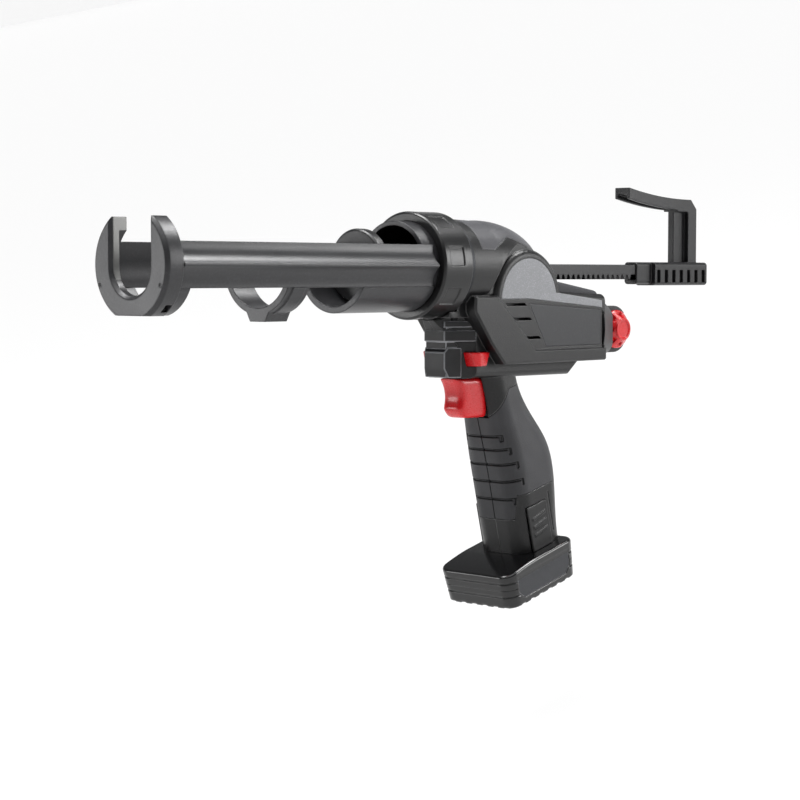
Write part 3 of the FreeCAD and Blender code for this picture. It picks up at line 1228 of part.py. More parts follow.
def barrel_housing():
    clear = rod_x(head_front_x, REACH, COLLAR_R + HEAD_GAP)
    flank = rod_y(FLANK_HALF, REACH, SHOULDER_R + FLANK_RIM, SHOULDER_X, SHOULDER_Z)
    head = head_solid(0.0).cut(both_sides(flank))
    body = joined([head, motor_block(), cheek_block(), neck_block()])
    body = body.cut(clear).cut(front_bumper()).cut(top_cover())
    return body


def grip_cavities():
    half = STICK_HALF + STICK_PLAY
    stick = prism_z(stick_steps(STICK_PLAY), PACK_HEIGHT - OVERRUN, terminal_low + TERMINAL_HEIGHT)
    latch = box(LATCH_REAR_X - LATCH_PLAY, LATCH_FRONT_X + LATCH_PLAY, 0, REACH, 0,
                PACK_HEIGHT + LATCH_HEIGHT + LATCH_PLAY)
    side = latch.common(box(-REACH, REACH, half - OVERRUN, REACH, 0, REACH))
    return [stick, both_sides(side)]


def housing_halves():
    body = standing(barrel_housing())
    body = body.fuse(grip_solid(0.0))
    panels = both_sides(panel(side_panel_steps())), both_sides(panel(name_panel_steps()))
    cuts = barrel_cavities() + list(panels) + screw_holes() + [vent_slots(), rear_slits()]
    for cut in cuts:
        body = body.cut(standing(cut))
    for cut in grip_cavities():
        body = body.cut(cut)
    body = body.cut(both_sides(grip_rubber())).cut(foot_slits())
    body = body.cut(box(-REACH, REACH, -REACH, REACH, -REACH, PACK_HEIGHT))
    left = body.common(box(-REACH, REACH, 0, REACH, -REACH, REACH))
    right = body.common(box(-REACH, REACH, -REACH, 0, -REACH, REACH))
    return [max(half.Solids, key=lambda solid: solid.Volume) for half in (left, right)]


# Battery
def pack_wire(z, inset):
    drawn = inset + PACK_DRAFT * (1 - z / PACK_HEIGHT)
    half = PACK_HALF - drawn
    corners = rounded(pack_rear + drawn, pack_front - drawn, -half, half, PACK_CORNER - inset)
    return closed_wire(at_z(z), corners)


def pack_slice(z0, z1, inset=0.0):
    """The pack's outer form between two heights, with its slight draft, drawn in by inset."""
    return Part.makeLoft([pack_wire(z0, inset), pack_wire(z1, inset)], True, True)


def pack_slope():
    """What the falling front of the pack's top takes away."""
    mid_x = (PACK_CREST_X + pack_front) / 2
    reach_x = pack_front + OVERRUN
    return prism_y([
        (PACK_CREST_X, PACK_HEIGHT),
        ((mid_x, PACK_HEIGHT - PACK_FALL * PACK_FALL_SHARE), (reach_x, PACK_HEIGHT - PACK_FALL)),
        (reach_x, PACK_HEIGHT + OVERRUN), (PACK_CREST_X, PACK_HEIGHT + OVERRUN)], -REACH, REACH)


def pack_groove(z):
    return pack_slice(z, z + PACK_GROOVE).cut(pack_slice(z, z + PACK_GROOVE, PACK_GROOVE_DEPTH))


def pack_notches():
    """The row of small notches along the foot of the pack."""
    side_y = PACK_HALF - PACK_DRAFT - NOTCH_DEPTH
    front_x = pack_front - PACK_DRAFT - NOTCH_DEPTH
    notches = []
    for index in range(-NOTCH_REACH, NOTCH_REACH):
        low = NOTCH_PITCH * (index + 0.5) - NOTCH_WIDTH / 2
        side = box(low, low + NOTCH_WIDTH, side_y, REACH, -OVERRUN, NOTCH_HEIGHT)
        front = box(front_x, REACH, low, low + NOTCH_WIDTH, -OVERRUN, NOTCH_HEIGHT)
        notches += [side, mirrored(side), front]
    return Part.makeCompound(notches)


def base_cells():
    cells = []
    x = pack_front - PACK_CELL_MARGIN
    for index in (-1, 0, 1):
        cells.append(rod_x(x - CELL_LENGTH, x, CELL_R, PACK_SPLIT, index * 2 * (CELL_R + CELL_GAP)))
    return cells


def stick_cells():
    low = stick_top - CELL_LENGTH - PACK_EDGE
    side = CELL_R + CELL_GAP
    back_x = STICK_X - side * math.sqrt(3) / 2
    front_x = STICK_X + side * math.sqrt(3) / 2
    places = ((back_x, side), (back_x, -side), (front_x, 0))
    return [rod_z(low, low + CELL_LENGTH, CELL_R, x, y) for x, y in places]


def battery_cells():
    return Part.makeCompound(base_cells() + stick_cells())


def stick_steps(play):
    return rounded(STICK_X + STICK_BACK - play, STICK_X + STICK_FRONT + play, -STICK_HALF - play,
                   STICK_HALF + play, STICK_CORNER + play)


def battery_stick():
    stick = prism_z(stick_steps(0.0), PACK_HEIGHT, stick_top)
    for cell in stick_cells():
        stick = stick.cut(cell)
    return stick


def contact_blades():
    blades = []
    for index in (-1, 0, 1):
        low_y = index * CONTACT_PITCH - CONTACT_WIDTH / 2
        blades.append(box(CONTACT_X - CONTACT_LENGTH, CONTACT_X, low_y, low_y + CONTACT_WIDTH,
                          stick_top, terminal_low))
    return Part.makeCompound(blades)


def terminal_block():
    return box(STICK_X - TERMINAL_HALF_LENGTH, STICK_X + TERMINAL_HALF_LENGTH, -TERMINAL_HALF_WIDTH,
               TERMINAL_HALF_WIDTH, terminal_low, terminal_low + TERMINAL_HEIGHT)


def label_plate():
    rear_x = pack_rear + PLATE_INSET
    front_x = pack_front - PLATE_INSET
    side_low = PLATE_LOW + PLATE_LEAN
    return prism_y([
        (rear_x, side_low), (rear_x, PLATE_TOP), (front_x, PLATE_TOP), (front_x, side_low),
        (front_x - PLATE_LEAN, PLATE_LOW), (rear_x + PLATE_LEAN, PLATE_LOW)],
        PACK_HALF - PACK_DRAFT - PLATE_DEPTH, PACK_HALF)


def label_plates():
    outer = pack_slice(0.0, PACK_HEIGHT, PLATE_DEPTH / 2)
    return label_plate().common(outer)


def battery_halves():
    lower = pack_slice(0.0, PACK_SPLIT)
    foot = [e for e in lower.Edges if all(abs(v.Point.z) < OVERRUN / REACH for v in e.Vertexes)]
    lower = lower.makeChamfer(PACK_EDGE / 2, foot).cut(pack_notches())
    upper = pack_slice(PACK_SPLIT, PACK_HEIGHT).cut(pack_slope())
    tops = [f for f in upper.Faces if f.normalAt(0, 0).z > math.sqrt(0.5)]
    walls = [f for f in upper.Faces if abs(f.normalAt(0, 0).z) < math.sqrt(0.5)]
    rim = [e for f in tops for e in f.Edges if any(e.isSame(other) for w in walls for other in w.Edges)]
    upper = upper.makeFillet(PACK_EDGE, rim)
    recess = both_sides(label_plate())
    halves = []
    for half, z in ((lower, PACK_GROOVE_LOW_Z), (upper, PACK_GROOVE_TOP_Z)):
        half = half.cut(pack_groove(z)).cut(recess)
        for cell in base_cells():
            half = half.cut(cell)
        halves.append(half)
    return halves


def left_latch():
    low = PACK_HEIGHT + LATCH_FOOT_GAP
    top = PACK_HEIGHT + LATCH_HEIGHT
    inner = STICK_HALF + LATCH_TRAVEL + LATCH_FOOT_GAP
    pad = box(LATCH_REAR_X, LATCH_FRONT_X, inner, inner + LATCH_WALL, low, top)
    ribs = [pad]
    front_x = LATCH_FRONT_X - LATCH_RIB_INSET
    rear_x = LATCH_REAR_X + LATCH_RIB_INSET
    for share in LATCH_RIB_SHARES:
        z = low + (top - low) * share
        ribs.append(prism_y([
            (front_x, z), (front_x, z + LATCH_RIB), (rear_x, z + LATCH_RIB + LATCH_RIB_LEAN),
            (rear_x, z + LATCH_RIB_LEAN)], inner + LATCH_WALL, inner + LATCH_WALL + LATCH_RIB_HEIGHT))
    return joined(ribs)


def pieces():
    left_housing, right_housing = housing_halves()
    battery_base, battery_top = battery_halves()
    rail = left_rail()
    rubber = grip_rubber().cut(finger_grooves())
    latch = left_latch()
    plate = label_plates()
    side_panel = standing(panel(side_panel_steps()))
    name_panel = standing(panel(name_panel_steps()))
    barrel = {
        "front_yoke": front_yoke(), "left_rail": rail, "right_rail": mirrored(rail),
        "support_ring": support_ring(), "cradle_base": cradle_base(), "collar_nut": collar_nut(),
        "rack_bar": rack_bar(), "piston_plate": piston_plate(), "piston_screw": piston_screw(),
        "pull_hook": pull_hook(), "hook_pins": hook_pins(), "drive_pinion": drive_pinion(),
        "pinion_bearings": pinion_bearings(), "rack_guides": rack_guides(), "gear_case": gear_case(),
        "reduction_gearbox": reduction_gearbox(), "motor": motor(), "control_board": control_board(),
        "dial_potentiometer": dial_potentiometer(), "rear_end_cap": rear_end_cap(),
        "speed_dial": speed_dial(), "front_bumper": front_bumper(), "top_cover": top_cover(),
        "lock_button": lock_button(),
        "trigger": trigger(), "switch_module": switch_module(),
        "housing_screws": Part.makeCompound(screw_solids()),
    }
    made = {name: standing(shape) for name, shape in barrel.items()}
    made.update({
        "left_housing": left_housing, "right_housing": right_housing,
        "left_side_panel": side_panel, "right_side_panel": mirrored(side_panel),
        "left_name_panel": name_panel, "right_name_panel": mirrored(name_panel),
        "left_grip_rubber": rubber, "right_grip_rubber": mirrored(rubber),
        "battery_base": battery_base, "battery_top": battery_top, "battery_stick": battery_stick(),
        "battery_cells": battery_cells(), "battery_contacts": contact_blades(),
        "left_battery_plate": plate, "right_battery_plate": mirrored(plate),
        "left_latch": latch, "right_latch": mirrored(latch), "terminal_block": terminal_block(),
    })
    return made


def main():
    os.makedirs("parts", exist_ok=True)
    for name, shape in pieces().items():
        shape.exportStep(os.path.join("parts", name + ".step"))


if __name__ == "__main__":
    main()
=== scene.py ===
"""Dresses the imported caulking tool: softened mouldings, finishes, studio and camera."""

import json
import math

import bpy
from mathutils import Matrix, Vector

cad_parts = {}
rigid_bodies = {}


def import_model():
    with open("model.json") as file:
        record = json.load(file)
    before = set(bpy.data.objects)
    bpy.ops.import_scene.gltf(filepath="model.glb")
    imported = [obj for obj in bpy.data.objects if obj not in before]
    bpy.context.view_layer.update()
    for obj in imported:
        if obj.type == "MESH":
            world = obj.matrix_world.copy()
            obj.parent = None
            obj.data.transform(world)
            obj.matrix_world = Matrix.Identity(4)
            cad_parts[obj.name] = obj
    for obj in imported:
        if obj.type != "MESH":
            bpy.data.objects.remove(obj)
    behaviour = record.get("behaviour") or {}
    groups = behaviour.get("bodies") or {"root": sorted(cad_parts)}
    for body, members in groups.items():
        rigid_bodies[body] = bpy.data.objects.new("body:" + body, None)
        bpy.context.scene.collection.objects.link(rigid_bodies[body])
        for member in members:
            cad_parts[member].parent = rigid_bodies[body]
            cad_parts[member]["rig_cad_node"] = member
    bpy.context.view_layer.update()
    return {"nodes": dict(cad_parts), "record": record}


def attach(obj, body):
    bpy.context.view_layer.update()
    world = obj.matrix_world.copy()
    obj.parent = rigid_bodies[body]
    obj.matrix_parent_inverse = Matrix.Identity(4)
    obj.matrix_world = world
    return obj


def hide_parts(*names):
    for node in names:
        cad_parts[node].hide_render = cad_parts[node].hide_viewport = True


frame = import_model()

bl_info = {
    "name": "Cordless Caulking Tool",
    "version": (1, 0, 0),
    "blender": (4, 5, 0),
    "location": "View3D > Sidebar > Caulking Tool",
    "description": "Dresses the packed caulking tool and sets up its studio",
    "category": "Object",
}

NODES = frame["nodes"]
BODY_OF = {
    node: body
    for body, members in frame["record"]["behaviour"]["bodies"].items()
    for node in members
}
SIDES = ("left", "right")
# The barrel points up by this angle while the battery's foot is level.
RAKE = math.radians(14.3)
BARREL_TO_ROW = Matrix.Rotation(-RAKE, 4, "Y") @ Matrix.Translation((0.107, 0.0, 0.2186))
# The trigger's stem and the root where it fits the housing, in millimetres along the barrel.
STEM_SPACE = ((-80.0, -7.0, -97.0), (-69.4, 7.0, -78.0))

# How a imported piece's triangles become whole faces, and how its faces are shaded.
MERGE_REACH = 0.000004
FLAT_ANGLE = math.radians(0.6)
SHADE_ANGLE = math.radians(38.0)
# Edges sharper than this are rounded. The housing's many small steps ask for a wider angle.
EDGE_ANGLE = math.radians(32.0)
HOUSING_EDGE_ANGLE = math.radians(40.0)
# Rounds of smoothing that run the trigger's corners together.
TRIGGER_PASSES = 260

# The motor crown, in metres: its depth, the rise at its middle, how far its outer side leans inward
# and down, and its rounding. Faces that meet at less than the angle are shaded as one.
CROWN_DEPTH = 0.016
CROWN_RISE = 0.0022
CROWN_LEAN = (0.0015, 0.0012)
CROWN_EDGE = 0.0034
CROWN_SHADE_ANGLE = math.radians(40.0)

# Radii over which the shaders look for edges, in metres.
PLASTIC_RIM = 0.0011
RUBBER_RIM = 0.0008
STEEL_RIM = 0.0006
RUBBER_EASE = 0.0012
STEEL_EASE = 0.0009
METAL_EASE = 0.0003

# Ways that lines run on bare metal: how often they repeat along each axis.
UNBRUSHED = (1.0, 1.0, 1.0)
MILLED = (1.0, 1.0, 18.0)
TURNED = (1.0, 1.0, 30.0)
GROUND = (1.0, 20.0, 1.0)
DRAWN = (12.0, 1.0, 1.0)

# The studio, in metres: the sheet's width and the height of its upturned edges, then the sky lamp,
# and for each round lamp the place where it hangs, the place it points at and its width.
SHEET_WIDTH = 30.0
SHEET_UPTURN = 3.2
SKY_PLACE = (0.6, 0.5, 3.0)
SKY_DIRECTION = (-0.12, -0.08, -1.0)
SKY_SPREAD = math.radians(70.0)
MIDDLE = (0.0, 0.0, 0.24)
LAMPS = {
    "key": ((0.15, -0.35, 1.35), MIDDLE, 0.5),
    "fill": ((1.3, -1.1, 0.5), (0.15, 0.0, 0.27), 0.5),
    "rim": ((-0.85, 0.85, 0.28), MIDDLE, 0.5),
    "back": ((-0.9, 0.3, 1.15), (0.1, 0.0, 0.27), 0.4),
}
AIR_COLOUR = (0.9, 0.91, 0.93, 1.0)
SENSOR_WIDTH = 36.0


def row(x, y, z):
    """A place along the barrel, in millimetres from the collar's mouth, in the row frame."""
    return BARREL_TO_ROW @ Vector((x / 1000, y / 1000, z / 1000))


def tone(red, green, blue):
    """A colour as a screen shows it, 0 to 255, made linear for a shader."""
    return tuple(
        value / 255 / 12.92 if value <= 10 else ((value / 255 + 0.055) / 1.055) ** 2.4
        for value in (red, green, blue)
    )


def scaled(colour, factor, lift=0.0):
    """A colour made paler or deeper, and never past white."""
    return tuple(min(1.0, value * factor + lift) for value in colour)


class Wire:
    """A socket of a finish, which can be used in sums as a number can."""

    def __init__(self, finish, socket):
        self.finish = finish
        self.socket = socket

    def _sum(self, operation, first, second):
        return self.finish.node("ShaderNodeMath", {"operation": operation}, {0: first, 1: second})

    def __add__(self, other):
        return self._sum("ADD", self, other)

    def __radd__(self, other):
        return self._sum("ADD", other, self)

    def __sub__(self, other):
        return self._sum("SUBTRACT", self, other)

    def __rsub__(self, other):
        return self._sum("SUBTRACT", other, self)

    def __mul__(self, other):
        return self._sum("MULTIPLY", self, other)


class Finish:
    """A material under construction, with one method for any node."""

    def __init__(self, name):
        self.material = bpy.data.materials.new(name)
        self.material.use_nodes = True
        self.tree = self.material.node_tree
        self.tree.nodes.clear()

    def node(self, kind, settings, inputs, output=0):
        """Adds a node, sets it up, fills its sockets and gives one of its outputs."""
        made = self.tree.nodes.new(kind)
        for key, value in settings.items():
            setattr(made, key, value)
        for key, value in inputs.items():
            if isinstance(value, Wire):
                self.tree.links.new(value.socket, made.inputs[key])
            else:
                made.inputs[key].default_value = value
        return Wire(self, made.outputs[output]) if made.outputs else None

    def place(self):
        """The object's own coordinates, in metres in the row frame."""
        return self.node("ShaderNodeTexCoord", {}, {}, "Object")

    def noise(self, scale, detail, stretch=(1.0, 1.0, 1.0)):
        """Cloudy variation between 0 and 1, about this many blobs to the metre."""
        turned = self.node("ShaderNodeMapping", {}, {"Vector": self.place(), "Scale": stretch})
        return self.node(
            "ShaderNodeTexNoise", {}, {"Vector": turned, "Scale": scale, "Detail": detail}, "Fac"
        )

    def ramp(self, value, low, high):
        """Stretches the part of a value between low and high to the whole of 0 to 1."""
        return self.node(
            "ShaderNodeMapRange", {}, {"Value": value, "From Min": low, "From Max": high}
        )

    def mix(self, factor, first, second):
        """A colour between two others."""
        return self.node(
            "ShaderNodeMix",
            {"data_type": "RGBA"},
            {0: factor, 6: self.colour(first), 7: self.colour(second)},
            2,
        )

    @staticmethod
    def colour(value):
        """A colour as a shader's socket takes it."""
        return value if isinstance(value, Wire) else (*value, 1.0)

    def eased(self, radius):
        """The surface's direction, with edges eased to a radius."""
        return self.node("ShaderNodeBevel", {"samples": 6}, {"Radius": radius})

    def rim(self, radius):
        """Grows from 0 on the flats to 1 along sharp edges, where finishes paint edges paler: rubbed
        wear, and on plastic and rubber a painted highlight too.
        """
        rounded = self.eased(radius)
        flat = self.node("ShaderNodeNewGeometry", {}, {}, "Normal")
        facing = self.node(
            "ShaderNodeVectorMath", {"operation": "DOT_PRODUCT"}, {0: rounded, 1: flat}, "Value"
        )
        return self.ramp(1 - facing, 0.02, 0.25)

    def bump(self, height, depth, strength, radius):
        """Relief of this depth in metres, over edges eased to a radius."""
        return self.node("ShaderNodeBump", {}, {
            "Height": height, "Distance": depth, "Strength": strength, "Normal": self.eased(radius),
        })

    def done(self, inputs):
        """Closes the finish with its shader and gives the material."""
        shader = self.node("ShaderNodeBsdfPrincipled", {}, inputs)
        self.node("ShaderNodeOutputMaterial", {}, {"Surface": shader})
        return self.material


def moulded(name, colour, gloss, grain_scale, grain_depth, speckle=0.0, edge_paling=0.7, coat=0.0, cloud=0.18):
    """Moulded plastic: a spark-eroded grain, faint flow marks, and edges painted paler, partly as
    rubbed wear and partly as a painted highlight.
    """
    finish = Finish(name)
    grain = finish.noise(grain_scale, 3.0)
    flow = finish.noise(38.0, 4.0, (1.0, 1.0, 2.2))
    rim = finish.rim(PLASTIC_RIM)
    base = finish.mix(flow, scaled(colour, 1 - cloud), scaled(colour, 1 + cloud * 0.7))
    if speckle:
        fleck = finish.ramp(finish.noise(grain_scale * 1.1, 1.0), 0.55, 0.72)
        base = finish.mix(fleck * speckle, base, scaled(colour, 1.7, 0.05))
    # Painted highlight along the edges, mixed with rubbed wear: edges are painted paler than the flats.
    base = finish.mix(rim * edge_paling, base, scaled(colour, 1.7, 0.1))
    rough = gloss + (grain - 0.5) * 0.16 + (flow - 0.5) * cloud * 0.5 - rim * 0.08
    inputs = {
        "Base Color": base,
        "Roughness": rough,
        "Normal": finish.bump(grain, grain_depth, 1.0, PLASTIC_RIM),
        "IOR": 1.48,
        "Specular IOR Level": 0.4,
    }
    if coat:
        inputs["Coat Weight"] = coat
        inputs["Coat Roughness"] = 0.12
    return finish.done(inputs)


def rubbered(name, colour, gloss, grain_scale, grain_depth):
    """Soft overmoulding: a fine leathery nap, polished where it is held, and edges painted pale, partly
    as rubbed wear and partly as a painted highlight.
    """
    finish = Finish(name)
    cells = finish.node(
        "ShaderNodeTexVoronoi",
        {"feature": "SMOOTH_F1"},
        {"Vector": finish.place(), "Scale": grain_scale, "Smoothness": 0.6},
        "Distance",
    )
    hands = finish.ramp(finish.noise(24.0, 3.0), 0.35, 0.7)
    base = finish.mix(hands * 0.6, scaled(colour, 0.75), scaled(colour, 1.35, 0.004))
    # Painted highlight along the edges, mixed with rubbed wear.
    base = finish.mix(finish.rim(RUBBER_RIM) * 0.1, base, scaled(colour, 2.0, 0.12))
    rough = gloss - hands * 0.1 + cells * 0.08
    normal = finish.bump(1 - cells, grain_depth, 1.0, RUBBER_EASE)
    return finish.done({"Base Color": base, "Roughness": rough, "Normal": normal, "IOR": 1.45})


def painted(name, colour, bare, gloss, edge_paling=0.5):
    """Powder-coated steel: a fine orange peel, thin rubbed edges that show the metal."""
    finish = Finish(name)
    peel = finish.noise(900.0, 2.0)
    cloud = finish.noise(30.0, 4.0)
    chips = finish.ramp(finish.noise(420.0, 4.0), 0.46, 0.62)
    worn = finish.rim(STEEL_RIM) * chips * edge_paling
    base = finish.mix(cloud, scaled(colour, 0.85), scaled(colour, 1.15))
    fleck = finish.ramp(finish.noise(700.0, 2.0), 0.5, 0.75)
    base = finish.mix(fleck * 0.3, base, scaled(colour, 2.2))
    base = finish.mix(worn, base, bare)
    rough = gloss + (cloud - 0.5) * 0.12 + (peel - 0.5) * 0.1
    normal = finish.bump(peel, 0.00006, 0.8, STEEL_EASE)
    metallic = 0.15 + worn * 0.8
    return finish.done(
        {"Base Color": base, "Roughness": rough, "Metallic": metallic, "Normal": normal}
    )


def bare_metal(name, colour, gloss, brush):
    """Bare metal with drawn or turned lines across it and a little haze."""
    finish = Finish(name)
    lines = finish.noise(140.0, 3.0, brush)
    haze = finish.noise(60.0, 4.0)
    base = finish.mix(lines * 0.6 + haze * 0.4, scaled(colour, 0.72), colour)
    rough = gloss + (lines - 0.5) * 0.18 + (haze - 0.5) * 0.1
    normal = finish.bump(lines, 0.00003, 0.6, METAL_EASE)
    return finish.done({"Base Color": base, "Roughness": rough, "Metallic": 1.0, "Normal": normal})


class FinishSettings(bpy.types.PropertyGroup):
    """Colours of the tool's finishes."""

    cradle: bpy.props.FloatVectorProperty(
        name="Cradle", description="Coated steel of the rails, rings and yoke",
        subtype="COLOR", min=0.0, max=1.0, default=tone(42, 42, 44),
    )
    bare_steel: bpy.props.FloatVectorProperty(
        name="Bare steel", description="Metal that shows where the coating is rubbed off",
        subtype="COLOR", min=0.0, max=1.0, default=tone(190, 190, 188),
    )
    housing: bpy.props.FloatVectorProperty(
        name="Housing", description="Moulded halves of the barrel and grip",
        subtype="COLOR", min=0.0, max=1.0, default=tone(15, 15, 16),
    )
    # This grey is also painted on the housing's bevelled edges as a painted highlight.
    cover: bpy.props.FloatVectorProperty(
        name="Cover", description="Soft cover over the gear case",
        subtype="COLOR", min=0.0, max=1.0, default=tone(66, 66, 69),
    )
    # This silver is also painted on the bevelled edges of the bumper and the battery plates as a
    # painted highlight.
    side_panel: bpy.props.FloatVectorProperty(
        name="Side panel", description="Speckled silver panel behind the collar",
        subtype="COLOR", min=0.0, max=1.0, default=tone(120, 121, 124),
    )
    name_panel: bpy.props.FloatVectorProperty(
        name="Name panel", description="Bare plate along the motor",
        subtype="COLOR", min=0.0, max=1.0, default=tone(30, 31, 34),
    )
    end_cap: bpy.props.FloatVectorProperty(
        name="End cap", description="Cap behind the motor",
        subtype="COLOR", min=0.0, max=1.0, default=tone(26, 26, 28),
    )
    red: bpy.props.FloatVectorProperty(
        name="Controls", description="Trigger, lock button and speed dial",
        subtype="COLOR", min=0.0, max=1.0, default=tone(188, 10, 18),
    )
    # This rubber, made nearly black, is also painted in the grip's seams and grooves as painted shade.
    rubber: bpy.props.FloatVectorProperty(
        name="Rubber", description="Soft rubber of the grip",
        subtype="COLOR", min=0.0, max=1.0, default=tone(46, 46, 49),
    )
    bumper: bpy.props.FloatVectorProperty(
        name="Bumper", description="Ribbed rubber over the trigger",
        subtype="COLOR", min=0.0, max=1.0, default=tone(24, 24, 26),
    )
    battery: bpy.props.FloatVectorProperty(
        name="Battery", description="Glossy case of the battery",
        subtype="COLOR", min=0.0, max=1.0, default=tone(9, 9, 10),
    )
    rack: bpy.props.FloatVectorProperty(
        name="Rack", description="Blackened toothed bar and its hook",
        subtype="COLOR", min=0.0, max=1.0, default=tone(17, 17, 19),
    )


class ShapeSettings(bpy.types.PropertyGroup):
    """Sizes of the softened edges, the yoke's slot and the motor crown."""

    fine_edge: bpy.props.FloatProperty(
        name="Fine edge", description="Rounding of thin plates and metal edges",
        unit="LENGTH", default=0.0004, min=0.00005,
    )
    soft_edge: bpy.props.FloatProperty(
        name="Soft edge", description="Rounding of moulded edges",
        unit="LENGTH", default=0.0009, min=0.00005,
    )
    slot_half: bpy.props.FloatProperty(
        name="Slot", description="Half the width of the yoke's slot, with a little over",
        unit="LENGTH", default=0.0172, min=0.001,
    )
    crown_front: bpy.props.FloatVectorProperty(
        name="Crown front",
        description="Front outer top corner of the crown, in millimetres along the barrel",
        default=(-88.0, 22.5, -6.8),
    )
    crown_rear: bpy.props.FloatVectorProperty(
        name="Crown rear",
        description="Rear inner top corner of the crown, in millimetres along the barrel",
        default=(-173.6, 10.8, -15.6),
    )


class StudioSettings(bpy.types.PropertyGroup):
    """Floor, lamps and camera."""

    floor: bpy.props.FloatVectorProperty(
        name="Floor", description="Pale floor of the studio",
        subtype="COLOR", min=0.0, max=1.0, default=(0.92, 0.92, 0.92),
    )
    lens: bpy.props.FloatProperty(
        name="Lens", description="Focal length on a 36 mm wide sensor", default=90.13, min=10.0,
    )
    camera_place: bpy.props.FloatVectorProperty(
        name="Camera place", description="Camera along the barrel, in millimetres from the collar",
        default=(936.73, 872.54, -5.44),
    )
    camera_turn: bpy.props.FloatProperty(
        name="Camera turn", description="Turn of the view off the barrel's own line",
        subtype="ANGLE", default=math.radians(43.12),
    )
    camera_tilt: bpy.props.FloatProperty(
        name="Camera tilt", description="Tilt of the view against the barrel",
        subtype="ANGLE", default=math.radians(-3.59),
    )
    floor_drop: bpy.props.FloatProperty(
        name="Floor drop", description="Space below the battery, so that it can slide out of the grip",
        default=0.09, min=0.0, unit="LENGTH",
    )
    floor_glow: bpy.props.FloatProperty(
        name="Floor glow", description="Share of the floor that stays white whatever falls on it",
        subtype="FACTOR", default=0.85, min=0.0, max=1.0,
    )
    sky_power: bpy.props.FloatProperty(
        name="Sky lamp", description="Strength of the broad light from above", default=2.2, min=0.0,
    )
    air_level: bpy.props.FloatProperty(
        name="Air", description="Strength of the light from all round", default=0.18, min=0.0,
    )
    key_power: bpy.props.FloatProperty(
        name="Key lamp", description="Power of the lamp over the tool",
        default=14.0, unit="POWER",
    )
    fill_power: bpy.props.FloatProperty(
        name="Fill lamp", description="Power of the lamp in front of the yoke",
        default=4.5, unit="POWER",
    )
    rim_power: bpy.props.FloatProperty(
        name="Rim lamp", description="Power of the lamp behind the tool's left side",
        default=5.5, unit="POWER",
    )
    back_power: bpy.props.FloatProperty(
        name="Back lamp", description="Power of the lamp high behind the tool",
        default=12.0, unit="POWER",
    )


def only(piece):
    """Selects one piece and nothing else."""
    bpy.ops.object.select_all(action="DESELECT")
    piece.select_set(True)
    bpy.context.view_layer.objects.active = piece


def applied(piece, kind, **settings):
    """Adds a modifier with these settings and applies it."""
    only(piece)
    modifier = piece.modifiers.new(kind.title(), kind)
    for key, value in settings.items():
        setattr(modifier, key, value)
    bpy.ops.object.modifier_apply(modifier=modifier.name)


def coated(piece, material):
    """Gives a piece its one finish."""
    piece.data.materials.clear()
    piece.data.materials.append(material)


def merged_copy(node):
    """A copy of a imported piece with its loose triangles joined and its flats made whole."""
    source = NODES[node]
    only(source)
    bpy.ops.object.duplicate(linked=False)
    piece = bpy.context.active_object
    del piece["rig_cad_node"]
    piece.name = node + "_dressed"
    bpy.ops.object.mode_set(mode="EDIT")
    bpy.ops.mesh.select_all(action="SELECT")
    bpy.ops.mesh.remove_doubles(threshold=MERGE_REACH)
    bpy.ops.mesh.dissolve_limited(angle_limit=FLAT_ANGLE)
    bpy.ops.object.mode_set(mode="OBJECT")
    return piece


def softened(node, material, width, segments=3, angle=EDGE_ANGLE, edge=None, clamped=False):
    """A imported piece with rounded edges, its corners held in its own surface, for the plain one."""
    piece = merged_copy(node)
    coated(piece, material)
    if edge:
        piece.data.materials.append(edge)
    applied(
        piece, "BEVEL", width=width, segments=segments, limit_method="ANGLE",
        angle_limit=angle, use_clamp_overlap=clamped, miter_outer="MITER_ARC",
        material=1 if edge else -1,
    )
    applied(
        piece, "SHRINKWRAP", target=NODES[node], wrap_method="NEAREST_SURFACEPOINT",
        wrap_mode="INSIDE",
    )
    only(piece)
    bpy.ops.object.shade_smooth_by_angle(angle=SHADE_ANGLE)
    applied(piece, "WEIGHTED_NORMAL", keep_sharp=True, weight=60)
    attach(piece, BODY_OF[node])
    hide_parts(node)
    return piece


def moulded_round(node, material, grain, passes, kept):
    """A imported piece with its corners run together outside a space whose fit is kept."""
    piece = merged_copy(node)
    coated(piece, material)
    applied(piece, "REMESH", mode="VOXEL", voxel_size=grain)
    low, high = kept
    along_barrel = BARREL_TO_ROW.inverted()
    free = []
    for corner in piece.data.vertices:
        place = along_barrel @ corner.co * 1000
        if not all(low[axis] < place[axis] < high[axis] for axis in range(3)):
            free.append(corner.index)
    piece.vertex_groups.new(name="free").add(free, 1.0, "REPLACE")
    applied(piece, "SMOOTH", factor=0.5, iterations=passes, vertex_group="free")
    only(piece)
    bpy.ops.object.shade_smooth()
    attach(piece, BODY_OF[node])
    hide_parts(node)


def finished(nodes, material):
    """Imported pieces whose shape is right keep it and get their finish."""
    for node in nodes:
        coated(NODES[node], material)


class CAULK_OT_cradle(bpy.types.Operator):
    """Coats the rails, rings and yoke that hold the cartridge"""

    bl_idname = "caulk.cradle"
    bl_label = "Cartridge Cradle"

    def execute(self, context):
        colours = context.scene.caulk_finish
        sizes = context.scene.caulk_shape
        coat = painted("coated_steel", tuple(colours.cradle), tuple(colours.bare_steel), 0.36)
        for node in ("left_rail", "right_rail", "support_ring", "cradle_base"):
            softened(node, coat, sizes.fine_edge)
        yoke = softened("front_yoke", coat, sizes.fine_edge)
        milled = bare_metal("milled_slot", scaled(colours.bare_steel, 0.45), 0.42, MILLED)
        yoke.data.materials.append(milled)
        for face in yoke.data.polygons:
            inward = -face.center.y * face.normal.y
            if abs(face.normal.y) > 0.9 and inward > 0 and abs(face.center.y) < sizes.slot_half:
                face.material_index = 1
        return {"FINISHED"}


